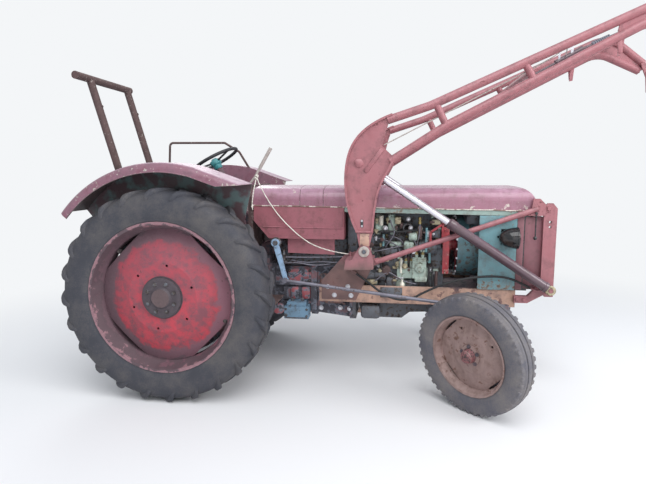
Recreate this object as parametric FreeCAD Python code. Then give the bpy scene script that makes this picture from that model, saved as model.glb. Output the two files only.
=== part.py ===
import FreeCAD, Part
import math
import os
from FreeCAD import Vector as V

# Farm tractor with a front loader, standing with its loader raised and its front wheels
# turned to the right. Millimetres. +X is forward, +Y is the driver's left, +Z is up.
# Inside this file X is measured from the rear axle; every piece is moved back by MIDDLE_X
# when it is written, so that the origin is on the floor under the middle of the whole.

# Overall
MIDDLE_X = 1355.0            # rear axle to the middle of the overall length
WHEELBASE = 2132.0
FIT = 0.3                    # running gap of a pin in its bore

# Rear wheels
REAR_TYRE_RADIUS = 735.0
REAR_TREAD_WIDTH = 292.0
REAR_SECTION = 220.0         # tyre's height from the rim to the tread
REAR_RIM_RADIUS = REAR_TYRE_RADIUS - REAR_SECTION
AXLE_SHAFT = 35.0            # radius
REAR_WHEEL_Y = 750.0         # middle plane of the tyre from the tractor's middle
LUGS_PER_SIDE = 24
LUG_HEIGHT = 33.0
LUG_WIDTH = 50.0             # along the tread
LUG_SLANT = 84.0             # how far the outer end trails the inner one

# Front wheels
FRONT_TYRE_RADIUS = 400.0
FRONT_TREAD_WIDTH = 165.0
FRONT_RIM_RADIUS = 271.0
KINGPIN_Y = 645.0
WHEEL_OFFSET = 110.0         # kingpin to the middle plane of the tyre, along the stub axle
CAMBER = 6.0                 # degrees, wheel top leaning outwards
RIGHT_STEER = 42.6           # degrees to the right, as it is parked
LEFT_STEER = 30.6
FRONT_FLAT_COUNT = 30        # flats round a front tyre and rim

# Steering
STEER_ARM = 250.0
STEER_ARM_Z = 650.0
TIE_ARM = 160.0
TIE_ARM_Z = 265.0
DROP_ARM = 285.0
DROP_PIVOT = (668.0, -360.0, 1052.0)
DROP_LEAN = 15.0             # degrees forward of straight down
ROD_RADIUS = 12.0
STUD_RADIUS = 9.0            # ball stud of a rod end, in the arm's eye
STUD_PLAY = 0.95
HAND_WHEEL_CENTRE = (94.0, 0.0, 1651.0)
HAND_WHEEL_RADIUS = 210.0
COLUMN_SLOPE = 29.0          # degrees that the column leans back from upright

# Chassis castings: stations along X where one housing bolts to the next
CASE_REAR_X = -280.0
GEARBOX_X = 600.0
CLUTCH_X = 930.0
ENGINE_X = 1230.0
ENGINE_FRONT_X = 1900.0
SUMP_FRONT = WHEELBASE - 252
CASE_FLOOR = 460.0
DRAWBAR_Z = 416.0
CASE_TOP = 930.0
CASE_HALF = 200.0
GEARBOX_HALF = 175.0
GEARBOX_TOP = 840.0
GEARBOX_FLOOR = 480.0
ENGINE_HALF = 165.0
FLANGE = 24.0                # thickness of a joint flange
FLANGE_LIP = 32.0            # how far a flange stands out of the casting

# Body panels
SHEET = 4.0
BONNET_HALF = 310.0
BONNET_REAR = 480.0
BONNET_FRONT = 2512.0
BONNET_TOP = 1468.0
BONNET_EDGE_REAR = 1322.0
BONNET_EDGE_FRONT = 1296.0
BONNET_CORNER = 85.0
PANEL_GAP = 3.0
TANK_FRONT = 1170.0
TANK_FLOOR = 1078.0
COWL_FRONT = BONNET_FRONT - 127
COWL_REAR = COWL_FRONT - 255
COWL_FLOOR = 734.0
LAMP_X = COWL_FRONT - 55
LAMP_Y = 360.0
LAMP_Z = 1114.0
LAMP_RADIUS = 72.0

# Mudguards
GUARD_GAP = 165.0            # from the tread to the mudguard
GUARD_RADIUS = REAR_TYRE_RADIUS + GUARD_GAP
GUARD_INNER_Y = 552.0
GUARD_OUTER_Y = 872.0
GUARD_LIP = 64.0
GUARD_CORNER = 40.0
GUARD_REAR_ANGLE = 141.0
GUARD_FRONT_ANGLE = 75.0
GUARD_TIP = (GUARD_RADIUS - 344, REAR_TYRE_RADIUS + 755)
PLATFORM_Z = 622.0

# Roll bar
BAR_RADIUS = 28.5
BAR_Y = 275.0

# Loader
PIVOT = (1330.0, 1020.0)     # X and Z of the boom's pivot
ARM_Y = 470.0
ARM_TUBE = 29.0              # radius
KNEE_RIM = 14.0
CYLINDER_Y = 395.0
CYLINDER_EYE = (BONNET_FRONT + 88, 762.0)
ROD_PIN = (1290.0, 1628.0)
BARREL_RADIUS = 34.0
BARREL_LENGTH = 815.0
LIFT_ROD_RADIUS = 25.0
ROD_OVERLAP = 110.0          # rod left inside its barrel when fully out
PIN_RADIUS = 16.0
TIP = (3440.0, 2375.0)
CARRIER_BORE = 13.0
UPRIGHT_X = (BONNET_FRONT + 40, BONNET_FRONT + 128)
UPRIGHT_TOP = 1318.0
UPRIGHT_FOOT = 700.0
UPRIGHT_Y = 322.0
BRACE_Y = 336.0
BRACE_RADIUS = 19.0
BRACE_REAR = 1396.0
RAIL_INNER = 270.0
RAIL_OUTER = 300.0
RAIL_FLOOR = 608.0
RAIL_TOP = 733.0
RAIL_REAR = 985.0
RAIL_FRONT = COWL_FRONT + 10

# Soft lines on the right-hand side
HOSE_RADIUS = 8.0
ROPE_RADIUS = 4.0
# routes from the rear axle, right-hand side
HOSE_ROUTE = [(1263, -327, 829), (1322, -329, 791), (1381, -331, 744), (1447, -333, 694), (1518, -334, 656),
              (1597, -335, 641), (1672, -336, 657), (1740, -337, 697), (1803, -338, 730), (1870, -339, 763),
              (1958, -340, 795), (2060, -341, 820), (2165, -342, 835), (2265, -343, 838), (2345, -344, 826),
              (2415, -345, 797), (2484, -345, 761)]
ROPE_ROUTE = [(520, -305, 1536), (532, -313, 1497), (556, -323, 1456), (580, -327, 1412), (612, -327, 1357),
              (650, -327, 1301), (691, -327, 1248), (735, -327, 1199), (789, -327, 1147), (849, -327, 1096),
              (916, -328, 1050), (988, -329, 1019), (1066, -330, 997), (1141, -331, 982), (1205, -332, 974)]
ROPE_TAIL = [(512, -300, 1520), (508, -314, 1485), (502, -325, 1445), (495, -327, 1402), (488, -327, 1358),
             (486, -327, 1319)]
HOSE_PIPE = 7.0

NODES = {}


def emit(name, shape):
    """Keep a finished piece under its name; it is written in the model's own frame."""
    moved = shape.copy()
    moved.translate(V(-MIDDLE_X, 0, 0))
    NODES[name] = moved


def box(x0, x1, y0, y1, z0, z1):
    return Part.makeBox(x1 - x0, y1 - y0, z1 - z0, V(x0, y0, z0))


def rod(start, end, radius):
    axis = V(*end) - V(*start)
    return Part.makeCylinder(radius, axis.Length, V(*start), axis)


def across(x, z, radius, y0, y1):
    """A round bar along Y."""
    return Part.makeCylinder(radius, abs(y1 - y0), V(x, min(y0, y1), z), V(0, 1, 0))


def upright(x, y, radius, z0, z1):
    return Part.makeCylinder(radius, z1 - z0, V(x, y, z0), V(0, 0, 1))


def side_plate(outline, y0, y1):
    """An outline of (x, z) corners, thick along Y."""
    corners = [V(x, y0, z) for x, z in outline]
    return Part.Face(Part.makePolygon(corners + corners[:1])).extrude(V(0, y1 - y0, 0))


def cross_plate(outline, x0, x1):
    """An outline of (y, z) corners, thick along X."""
    corners = [V(x0, y, z) for y, z in outline]
    return Part.Face(Part.makePolygon(corners + corners[:1])).extrude(V(x1 - x0, 0, 0))


def flat_plate(outline, z0, z1):
    """An outline of (x, y) corners, thick along Z."""
    corners = [V(x, y, z0) for x, y in outline]
    return Part.Face(Part.makePolygon(corners + corners[:1])).extrude(V(0, 0, z1 - z0))


def turned(outline, origin, axis):
    """A solid of revolution from (radius, distance along the axis) corners."""
    corners = [V(r, 0, a) for r, a in outline]
    solid = Part.Face(Part.makePolygon(corners + corners[:1])).revolve(V(0, 0, 0), V(0, 0, 1), 360)
    solid = Part.makeSolid(solid) if solid.ShapeType != "Solid" else solid
    placed = solid.copy()
    placed.Placement = FreeCAD.Placement(V(*origin), FreeCAD.Rotation(V(0, 0, 1), V(*axis)))
    return placed


def mirrored(shape):
    return shape.mirror(V(0, 0, 0), V(0, 1, 0))


def bent_path(points, bend):
    """Straight runs joined by tangent arcs, of one radius or as large as the runs allow."""
    corners = [V(*p) for p in points]
    edges, start = [], corners[0]
    for before, corner, after in zip(corners, corners[1:], corners[2:]):
        back, ahead = before - corner, after - corner
        shorter = min(back.Length, ahead.Length)
        back.normalize()
        ahead.normalize()
        half_turn = (math.pi - back.getAngle(ahead)) / 2
        radius = bend or 0.45 * shorter / math.tan(half_turn)
        if not bend:
            print("bend radius %.0f" % radius)
        cut = radius * math.tan(half_turn)
        middle = (back + ahead).normalize()
        depth = radius / math.cos(half_turn) - radius
        leave, join = corner + back * cut, corner + ahead * cut
        edges.append(Part.LineSegment(start, leave).toShape())
        edges.append(Part.Arc(leave, corner + middle * depth, join).toShape())
        start = join
    edges.append(Part.LineSegment(start, corners[-1]).toShape())
    return Part.Wire(edges)


def bent_tube(points, radius, bend):
    """A round bar bent to a path."""
    path = bent_path(points, bend)
    first = V(*points[1]) - V(*points[0])
    ring = Part.Wire([Part.makeCircle(radius, V(*points[0]), first)])
    return path.makePipeShell([ring], True, False)


def cord(points, radius):
    """A limp tube along a route of points, each corner as round as its runs allow."""
    path = bent_path(points, 0)
    ring = Part.Wire([Part.makeCircle(radius, V(*points[0]), V(*points[1]) - V(*points[0]))])
    tube = path.makePipeShell([ring], True, False)
    swept = math.pi * radius ** 2 * path.Length
    print("cord %.0f long, volume %.4f of section by length" % (path.Length, tube.Volume / swept))
    return tube


def fused(*shapes):
    first, rest = shapes[0], list(shapes[1:])
    whole = first.multiFuse(rest) if rest else first
    return whole.removeSplitter()


def band(edge, depth):
    """A line of (x, z) corners and its copy set in by a depth to the right of its direction."""
    sides = []
    for (x0, z0), (x1, z1) in zip(edge, edge[1:]):
        length = math.hypot(x1 - x0, z1 - z0)
        sides.append(((z1 - z0) / length, (x0 - x1) / length))
    inner = []
    for (x, z), (ax, az), (bx, bz) in zip(edge, sides[:1] + sides, sides + sides[-1:]):
        share = depth / (1 + ax * bx + az * bz)
        inner.append((x + (ax + bx) * share, z + (az + bz) * share))
    return edge + inner[::-1]


def smooth(points, count):
    """Corners along the soft curve that passes through a line of (x, z) points."""
    curve = Part.BSplineCurve()
    curve.interpolate([V(x, 0, z) for x, z in points])
    return [(p.x, p.z) for p in curve.discretize(Number=count)]


def pair(shape):
    """A piece and its mirror image as two solids of one node."""
    return Part.makeCompound([shape, mirrored(shape)])


def faceted_ring(outline, flats, turn):
    """A closed ring about the Y axis: (radius, y) corners carried round on equal flats."""
    def corner(radius, y, step):
        angle = math.radians(turn) + 2 * math.pi * step / flats
        return V(radius * math.cos(angle), y, radius * math.sin(angle))
    area = sum(r0 * y1 - r1 * y0 for (r0, y0), (r1, y1) in zip(outline, outline[1:] + outline[:1]))
    if area > 0:
        outline = outline[::-1]
    faces = []
    for step in range(flats):
        for (r0, y0), (r1, y1) in zip(outline, outline[1:] + outline[:1]):
            quad = [corner(r0, y0, step), corner(r1, y1, step),
                    corner(r1, y1, step + 1), corner(r0, y0, step + 1)]
            faces.append(Part.Face(Part.makePolygon(quad + quad[:1])))
    return Part.makeSolid(Part.Shell(faces))


def spun(shape, degrees):
    """Turned about the wheel's own axle, the Y axis."""
    copy = shape.copy()
    copy.rotate(V(0, 0, 0), V(0, 1, 0), degrees)
    return copy


# Rear wheel, about its own middle point with its axle along Y and the outside at -Y.

HALF_LUG = LUG_WIDTH / 2 + LUG_SLANT / 2
LUG_FLAT_RADIUS = math.sqrt(REAR_TYRE_RADIUS ** 2 - HALF_LUG ** 2)
REAR_HALF_TREAD = REAR_TREAD_WIDTH / 2
REAR_BEAD = REAR_RIM_RADIUS - 13
REAR_RIM_HALF = 135.0
REAR_FLATS = 2 * LUGS_PER_SIDE


def rear_lug(side):
    """One bar of the tread: it slants from the middle and folds down over the shoulder."""
    base = REAR_TYRE_RADIUS - LUG_HEIGHT
    bar = [(LUG_SLANT / 2 - LUG_WIDTH / 2, -6), (LUG_SLANT / 2 + LUG_WIDTH / 2, -6),
           (-LUG_SLANT / 2 + LUG_WIDTH / 2, REAR_HALF_TREAD + 4),
           (-LUG_SLANT / 2 - LUG_WIDTH / 2, REAR_HALF_TREAD + 4)]
    plan = flat_plate(bar, base - 75, REAR_TYRE_RADIUS + 5)
    section = [(-10, base - 12), (-10, LUG_FLAT_RADIUS),
               (REAR_HALF_TREAD - 36, LUG_FLAT_RADIUS - 3),
               (REAR_HALF_TREAD, base - 30), (REAR_HALF_TREAD - 6, base - 72)]
    lug = plan.common(cross_plate(section, -HALF_LUG - 1, HALF_LUG + 1))
    return lug if side > 0 else mirrored(lug)


def rear_tyre():
    edge = REAR_RIM_HALF - 13
    half = REAR_HALF_TREAD - 4
    base = REAR_TYRE_RADIUS - LUG_HEIGHT
    wall = [(REAR_BEAD, edge), (REAR_BEAD + 63, half), (base - 62, half), (base - 10, half - 26),
            (base, 0), (base - 10, 26 - half), (base - 62, -half), (REAR_BEAD + 63, -half),
            (REAR_BEAD, -edge)]
    carcass = faceted_ring(wall, REAR_FLATS, 0)
    pitch = 360.0 / LUGS_PER_SIDE
    first = math.degrees(math.atan2(HALF_LUG, LUG_FLAT_RADIUS))
    lugs = []
    for number in range(LUGS_PER_SIDE):
        for side, lead in ((1, 0.0), (-1, pitch / 2)):
            lugs.append(spun(rear_lug(side), 180 + first + lead + number * pitch))
    return carcass.multiFuse(lugs)


def rear_wheel():
    """Rim, dished disc with flats at its edge, hub and axle shaft, in one welded piece."""
    out = REAR_RIM_HALF
    well = REAR_RIM_RADIUS - 53
    channel = [(REAR_BEAD, out - 9), (REAR_RIM_RADIUS, out - 5), (REAR_RIM_RADIUS, out),
               (REAR_BEAD - 6, out - 2), (well, 40), (well, -40), (REAR_BEAD - 6, 2 - out),
               (REAR_RIM_RADIUS, -out), (REAR_RIM_RADIUS, 5 - out), (REAR_BEAD, 9 - out)]
    rim = faceted_ring(channel, REAR_FLATS, 0)
    dish = [(well + 6, 14), (330, 62), (235, 90), (60, 94), (60, 102), (240, 99), (336, 71),
            (well + 6, 22)]
    disc = faceted_ring(dish, REAR_FLATS, 0)
    flat_at = REAR_RIM_RADIUS - 90
    for quarter in range(4):
        slot = box(flat_at, REAR_RIM_RADIUS, 8, 80, -well * 0.38, well * 0.38)
        slot = slot.cut(Part.makeCylinder(REAR_RIM_RADIUS * 2, 200, V(0, -60, 0), V(0, 1, 0)).cut(
            Part.makeCylinder(well - 1, 200, V(0, -60, 0), V(0, 1, 0))))
        disc = disc.cut(spun(slot, 45 + 90 * quarter))
    holes = [spun(Part.makeCylinder(9, 60, V(220, 70, 0), V(0, 1, 0)), 60 * n + 19.5) for n in range(6)]
    disc = disc.cut(Part.makeCompound(holes))
    hub = turned([(0, -190), (AXLE_SHAFT, -190), (AXLE_SHAFT, -142), (66, -142), (66, 60), (137, 76),
                  (137, 116), (120, 120), (75, 122), (62, 134), (0, 134)], (0, 0, 0), (0, 1, 0))
    whole = rim.multiFuse([disc, hub])
    whole.rotate(V(0, 0, 0), V(0, 0, 1), 180)
    return whole


def rear_wheels():
    height = REAR_TYRE_RADIUS
    for name, shape in (("rear_tyre_", rear_tyre()), ("rear_wheel_", rear_wheel())):
        shape.translate(V(0, -REAR_WHEEL_Y, height))
        emit(name + "right", shape)
        emit(name + "left", mirrored(shape))


# Front wheels and their knuckles. A knuckle is drawn for the right-hand side, straight
# ahead, about its kingpin at X = Y = 0, with the wheel at -Y, and then turned into place.

FRONT_HALF_TREAD = FRONT_TREAD_WIDTH / 2
FRONT_BEAD = FRONT_RIM_RADIUS - 9
FRONT_RIM_HALF = 73.0
FRONT_HUB_Z = (FRONT_TYRE_RADIUS * math.cos(math.radians(CAMBER))
               + (FRONT_HALF_TREAD - 60) * math.sin(math.radians(CAMBER)))
STUB_TOP_Z = FRONT_HUB_Z + WHEEL_OFFSET * math.sin(math.radians(CAMBER))


def front_tyre():
    half, base = FRONT_HALF_TREAD, FRONT_TYRE_RADIUS
    wall = [(FRONT_BEAD, 62.5), (base - 72, half), (base - 14, half - 18), (base, half - 60),
            (base, 60 - half), (base - 14, 18 - half), (base - 72, -half), (FRONT_BEAD, -62.5)]
    return faceted_ring(wall, FRONT_FLAT_COUNT, 0)


def front_wheel():
    out, well = FRONT_RIM_HALF, FRONT_RIM_RADIUS - 30
    channel = [(FRONT_BEAD, out - 7), (FRONT_RIM_RADIUS, out - 3), (FRONT_RIM_RADIUS, out),
               (FRONT_BEAD - 4, out - 2), (well, 30), (well, -30), (FRONT_BEAD - 4, 2 - out),
               (FRONT_RIM_RADIUS, -out), (FRONT_RIM_RADIUS, 3 - out), (FRONT_BEAD, 7 - out)]
    rim = faceted_ring(channel, FRONT_FLAT_COUNT, 0)
    dish = [(well + 4, 4), (150, 14), (120, 22), (40, 22), (40, 28), (124, 28), (155, 20), (well + 4, 10)]
    disc = faceted_ring(dish, FRONT_FLAT_COUNT, 0)
    for quarter in range(4):
        slot = box(well - 17, well + 30, 0, 40, -62, 62)
        slot = slot.common(Part.makeCylinder(well - 1, 80, V(0, -20, 0), V(0, 1, 0)))
        disc = disc.cut(spun(slot, 45 + 90 * quarter))
    for turn in (-66, -149):
        disc = disc.cut(spun(Part.makeCylinder(8, 60, V(178, -10, 0), V(0, 1, 0)), turn))
    hub = turned([(20 + FIT, -48), (48, -48), (48, 18), (70, 20), (70, 38), (46, 42), (40, 78), (30, 92),
                  (0, 92), (0, 62), (20 + FIT, 62)], (0, 0, 0), (0, 1, 0))
    whole = rim.multiFuse([disc, hub])
    whole.rotate(V(0, 0, 0), V(0, 0, 1), 180)
    return whole


def knuckle():
    """Kingpin, yoke round the beam's end, stub axle, steering arm and tie-rod arm."""
    lean = math.radians(CAMBER)
    out = V(0, -math.cos(lean), -math.sin(lean))
    foot = V(0, 0, STUB_TOP_Z)
    pin = upright(0, 0, 17, 288, 612)
    web = box(-42, 42, -50, -39, 292, 612)
    ears = [box(-30, 30, -50, 22, 292, 314), box(-30, 30, -50, 22, 586, 612)]
    stub = Part.makeCylinder(30, 10, foot + out * 46, out)
    axle = Part.makeCylinder(20, 122, foot + out * 46, out)
    boss = upright(0, 0, 27, 600, STEER_ARM_Z + 14)
    return [pin, web, stub, axle, boss] + ears


def steering_arm():
    """Only the right-hand knuckle has it: it reaches inwards to the drag link."""
    arm = flat_plate([(-25, 0), (25, 0), (17, STEER_ARM), (-17, STEER_ARM)],
                     STEER_ARM_Z - 12, STEER_ARM_Z + 12)
    return [arm, upright(0, STEER_ARM, 20, STEER_ARM_Z - 14, STEER_ARM_Z + 14)]


def stud_bore(tie_end):
    """Eye for the ball stud of the track rod."""
    return upright(tie_end.x, tie_end.y, STUD_RADIUS + FIT, TIE_ARM_Z - 30, TIE_ARM_Z + 30)


def tie_arm():
    """Reaches back and a little inwards, for the track rod."""
    toe = math.atan2(KINGPIN_Y, WHEELBASE)
    end = V(-TIE_ARM * math.cos(toe), TIE_ARM * math.sin(toe), 0)
    side = V(math.sin(toe), math.cos(toe), 0) * 20
    corners = [side, side * -1, end - side * 0.8, end + side * 0.8]
    arm = flat_plate([(c.x, c.y) for c in corners], TIE_ARM_Z - 10, TIE_ARM_Z + 10)
    boss = upright(0, 0, 27, TIE_ARM_Z - 10, 296)
    return [arm, boss, upright(end.x, end.y, 18, TIE_ARM_Z - 12, TIE_ARM_Z + 12)], end


def steered(shape, side):
    """Turn a right-hand piece on its kingpin, or its mirror image on the left one."""
    copy = shape.copy() if side == "right" else mirrored(shape)
    angle = RIGHT_STEER if side == "right" else LEFT_STEER
    copy.rotate(V(0, 0, 0), V(0, 0, 1), -angle)
    copy.translate(V(WHEELBASE, -KINGPIN_Y if side == "right" else KINGPIN_Y, 0))
    return copy


def cambered(shape):
    """A front wheel on its stub axle, straight ahead, for the right-hand side."""
    copy = shape.copy()
    copy.rotate(V(0, 0, 0), V(1, 0, 0), CAMBER)
    lean = math.radians(CAMBER)
    copy.translate(V(0, -WHEEL_OFFSET * math.cos(lean), FRONT_HUB_Z))
    return copy


def turn_about_kingpin(x, y, side):
    """Where a point drawn for the right-hand knuckle lies on the parked tractor."""
    if side == "left":
        y = -y
    angle = -math.radians(RIGHT_STEER if side == "right" else LEFT_STEER)
    return (WHEELBASE + x * math.cos(angle) - y * math.sin(angle),
            (-KINGPIN_Y if side == "right" else KINGPIN_Y) + x * math.sin(angle) + y * math.cos(angle))


def front_wheels():
    tyre, wheel = cambered(front_tyre()), cambered(front_wheel())
    arms, tie_end = tie_arm()
    for side in ("right", "left"):
        pieces = knuckle() + arms + (steering_arm() if side == "right" else [])
        emit("knuckle_" + side, steered(fused(*pieces).cut(stud_bore(tie_end)), side))
        emit("front_tyre_" + side, steered(tyre, side))
        emit("front_wheel_" + side, steered(wheel, side))
    right = turn_about_kingpin(tie_end.x, tie_end.y, "right")
    left = turn_about_kingpin(tie_end.x, tie_end.y, "left")
    low, high = TIE_ARM_Z - 46, TIE_ARM_Z - 18
    middle = (low + high) / 2
    start, end = V(right[0], right[1], middle), V(left[0], left[1], middle)
    bar = Part.makeCylinder(13, (end - start).Length, start, end - start)
    ends = [upright(p.x, p.y, 20, low, high) for p in (start, end)]
    stud = upright(start.x, start.y, STUD_RADIUS, high - 2, TIE_ARM_Z + 18)
    emit("tie_rod", fused(bar, stud, *ends))


def front_axle():
    """A forged beam, higher in the middle, with a boss for each kingpin."""
    outline = [(-600, 372), (-430, 372), (-330, 440), (-90, 470), (-70, 452), (70, 452), (90, 470),
               (330, 440), (430, 372), (600, 372), (600, 520), (400, 528), (300, 556), (-300, 556),
               (-400, 528), (-600, 520)]
    beam = cross_plate(outline, WHEELBASE - 34, WHEELBASE + 34)
    for side in (-1, 1):
        ribs = [(side * 90, 490), (side * 320, 468), (side * 320, 532), (side * 90, 532)]
        for face in (-34, 24):
            beam = beam.cut(cross_plate(ribs, WHEELBASE + face, WHEELBASE + face + 10))
        boss = upright(WHEELBASE, side * KINGPIN_Y, 33, 322, 578)
        neck = box(WHEELBASE - 26, WHEELBASE + 26, *sorted((side * 590, side * 630)), 380, 515)
        beam = beam.fuse(boss).fuse(neck)
        beam = beam.cut(upright(WHEELBASE, side * KINGPIN_Y, 17 + FIT, 300, 600))
    pin = rod((WHEELBASE - 110, 0, 510), (WHEELBASE + 130, 0, 510), 24)
    emit("front_axle_beam", beam.fuse(pin).removeSplitter())


# Chassis castings

def joint_flange(x, half, floor, top, thickness):
    """A bolting flange with cut corners, square to the tractor's length."""
    cut = 40
    outline = [(-half + cut, floor), (half - cut, floor), (half, floor + cut), (half, top - cut),
               (half - cut, top), (-half + cut, top), (-half, top - cut), (-half, floor + cut)]
    return cross_plate(outline, x, x + thickness)


def rear_case():
    """Final-drive case under the seat, with a tapered trumpet out to each rear hub."""
    half = CASE_HALF
    outline = [(-half, CASE_FLOOR + 60), (60 - half, CASE_FLOOR), (half - 60, CASE_FLOOR),
               (half, CASE_FLOOR + 60), (half, CASE_TOP - 80), (half - 50, CASE_TOP),
               (50 - half, CASE_TOP), (-half, CASE_TOP - 80)]
    body = cross_plate(outline, CASE_REAR_X, GEARBOX_X - FLANGE)
    lip = joint_flange(GEARBOX_X - FLANGE, CASE_HALF + 20, CASE_FLOOR, CASE_TOP - 60, FLANGE)
    lift_box = box(CASE_REAR_X + 40, 200, -130, 130, CASE_TOP - 5, CASE_TOP + 70)
    rear_cover = turned([(0, 0), (120, 0), (110, 26), (50, 34), (0, 34)], (CASE_REAR_X + 4, 0, 640), (-1, 0, 0))
    # radius, distance from the case: flange, cone, brake end and the bore for the axle shaft
    trumpet = turned([(0, -4), (165, -4), (165, 26), (128, 40), (88, 300), (88, 372), (120, 372), (120, 400),
                      (AXLE_SHAFT + FIT, 400), (AXLE_SHAFT + FIT, 330), (0, 330)],
                     (0, CASE_HALF, REAR_TYRE_RADIUS), (0, 1, 0))
    emit("rear_axle_housing", fused(body, lip, lift_box, rear_cover, trumpet, mirrored(trumpet)))


def gearbox():
    body = cross_plate([(-GEARBOX_HALF, GEARBOX_FLOOR + 50), (-GEARBOX_HALF + 50, GEARBOX_FLOOR),
                        (GEARBOX_HALF - 50, GEARBOX_FLOOR), (GEARBOX_HALF, GEARBOX_FLOOR + 50),
                        (GEARBOX_HALF, GEARBOX_TOP - 40), (GEARBOX_HALF - 40, GEARBOX_TOP),
                        (40 - GEARBOX_HALF, GEARBOX_TOP), (-GEARBOX_HALF, GEARBOX_TOP - 40)],
                       GEARBOX_X + FLANGE, CLUTCH_X - FLANGE)
    half = GEARBOX_HALF + FLANGE_LIP
    rear = joint_flange(GEARBOX_X, half + 13, GEARBOX_FLOOR - 10, GEARBOX_TOP + 20, FLANGE)
    front = joint_flange(CLUTCH_X - FLANGE, half, GEARBOX_FLOOR - 10, GEARBOX_TOP + 20, FLANGE)
    ribs = [box(GEARBOX_X + FLANGE, CLUTCH_X - FLANGE, -half + 12, half - 12, z, z + 16) for z in (560, 700)]
    side_cover = box(690, 850, -GEARBOX_HALF - 22, -GEARBOX_HALF + 2, 590, 686)
    top_cover = box(640, 880, -110, 110, GEARBOX_TOP - 2, GEARBOX_TOP + 28)
    tower = box(765, 895, -70, 70, GEARBOX_TOP + 26, GEARBOX_TOP + 98)
    shaft_boss = across(674, 541, 36, -GEARBOX_HALF, -300)
    emit("gearbox_housing", fused(body, rear, front, side_cover, top_cover, tower, shaft_boss, *ribs))
    emit("side_valve", fused(box(713, 900, -300, 12 - half, 462, 556),
                             box(735, 880, -286, 12 - half, 556, 590)))


def clutch_housing():
    """Bell housing: it widens from the gearbox to the engine."""
    half = GEARBOX_HALF + FLANGE_LIP
    outline = [(CLUTCH_X + FLANGE, GEARBOX_FLOOR + 10), (ENGINE_X - FLANGE, CASE_FLOOR),
               (ENGINE_X - FLANGE, GEARBOX_TOP + 40), (CLUTCH_X + FLANGE, GEARBOX_TOP)]
    body = side_plate(outline, -GEARBOX_HALF, GEARBOX_HALF)
    rear = joint_flange(CLUTCH_X, half, GEARBOX_FLOOR - 10, GEARBOX_TOP + 20, FLANGE)
    front = joint_flange(ENGINE_X - FLANGE, half + 20, CASE_FLOOR - 10, GEARBOX_TOP + 70, FLANGE)
    window = box(1010, 1150, -GEARBOX_HALF - 12, -GEARBOX_HALF + 2, 560, 660)
    hump = side_plate([(960, GEARBOX_TOP - 10), (1200, GEARBOX_TOP + 20), (1200, 944), (960, 940)], -70, 70)
    emit("clutch_housing", fused(body, rear, front, window, hump))


def engine():
    half = ENGINE_HALF
    block = fused(box(ENGINE_X + FLANGE, ENGINE_FRONT_X, -half, half, 600, 1010),
                  joint_flange(ENGINE_X, half + 62, CASE_FLOOR - 10, GEARBOX_TOP + 70, FLANGE),
                  box(ENGINE_X + 30, ENGINE_FRONT_X - 20, -half - 12, half + 12, 600, 622),
                  *[box(x, x + 16, -half - 10, half + 10, 622, 780) for x in (1330, 1500, 1670, 1840)],
                  *[box(x + 34, x + 134, -half - 8, half + 8, 862, 970) for x in (1330, 1500, 1670)])
    emit("engine_block", block)
    head = fused(box(1262, 1884, -140, 140, 1010, 1120),
                 *[box(x, x + 60, -152, 152, 1030, 1100) for x in (1300, 1450, 1600, 1750)])
    cover = side_plate([(1290, 1120), (1290, 1190), (1320, 1215), (1830, 1215), (1860, 1190), (1860, 1120)],
                       -90, 90)
    head = fused(head, cover, upright(1400, 0, 26, 1210, 1238))
    emit("cylinder_head", head)
    plenum = rod((1270, 190, 1235), (1880, 190, 1235), 48)
    runners = [rod((x, 120, 1100), (x, 188, 1212), 18) for x in (1405, 1555, 1705)]
    emit("intake_manifold", fused(plenum, *runners).cut(head))
    tray = [(1270, 560), (1300, 452), (1600, 452), (1660, 500), (SUMP_FRONT - 10, 512), (SUMP_FRONT, 560)]
    sump = fused(box(ENGINE_X + FLANGE, SUMP_FRONT + 10, -150, 150, 560, 600), side_plate(tray, -125, 125),
                 box(1262, SUMP_FRONT, -168, 168, 588, 600))
    emit("engine_sump", sump)
    pump = fused(box(1560, 1790, -232, -175, 786, 860), box(1672, 1770, -262, -222, 792, 944),
                 *[upright(x, -205, 13, 858, 912) for x in (1585, 1625, 1665)],
                 *[upright(x, -240, 12, 940, 968) for x in (1700, 1744)])
    bracket = box(1600, 1760, -184, -165, 800, 850)
    emit("injection_pump", fused(pump, bracket))
    filters = Part.makeCompound([
        fused(upright(1588, -222, 36, 672, 760), upright(1588, -222, 24, 760, 782),
              box(1572, 1604, -222, -ENGINE_HALF, 758, 776)),
        fused(upright(1420, -186, 34, 1130, 1236), upright(1420, -186, 22, 1236, 1256),
              box(1406, 1434, -186, -140, 1105, 1135)),
        fused(upright(1520, -186, 34, 1130, 1236), upright(1520, -186, 22, 1236, 1256),
              box(1506, 1534, -186, -140, 1105, 1135))])
    emit("engine_filters", filters)
    manifold = fused(rod((1320, 205, 1060), (1830, 205, 1060), 34),
                     *[rod((x, 152, 1060), (x, 205, 1060), 24) for x in (1330, 1480, 1630, 1780)],
                     bent_tube([(1400, 205, 1060), (1400, 205, 418), (560, 205, 400)], 24, 60))
    emit("exhaust", manifold)


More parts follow.
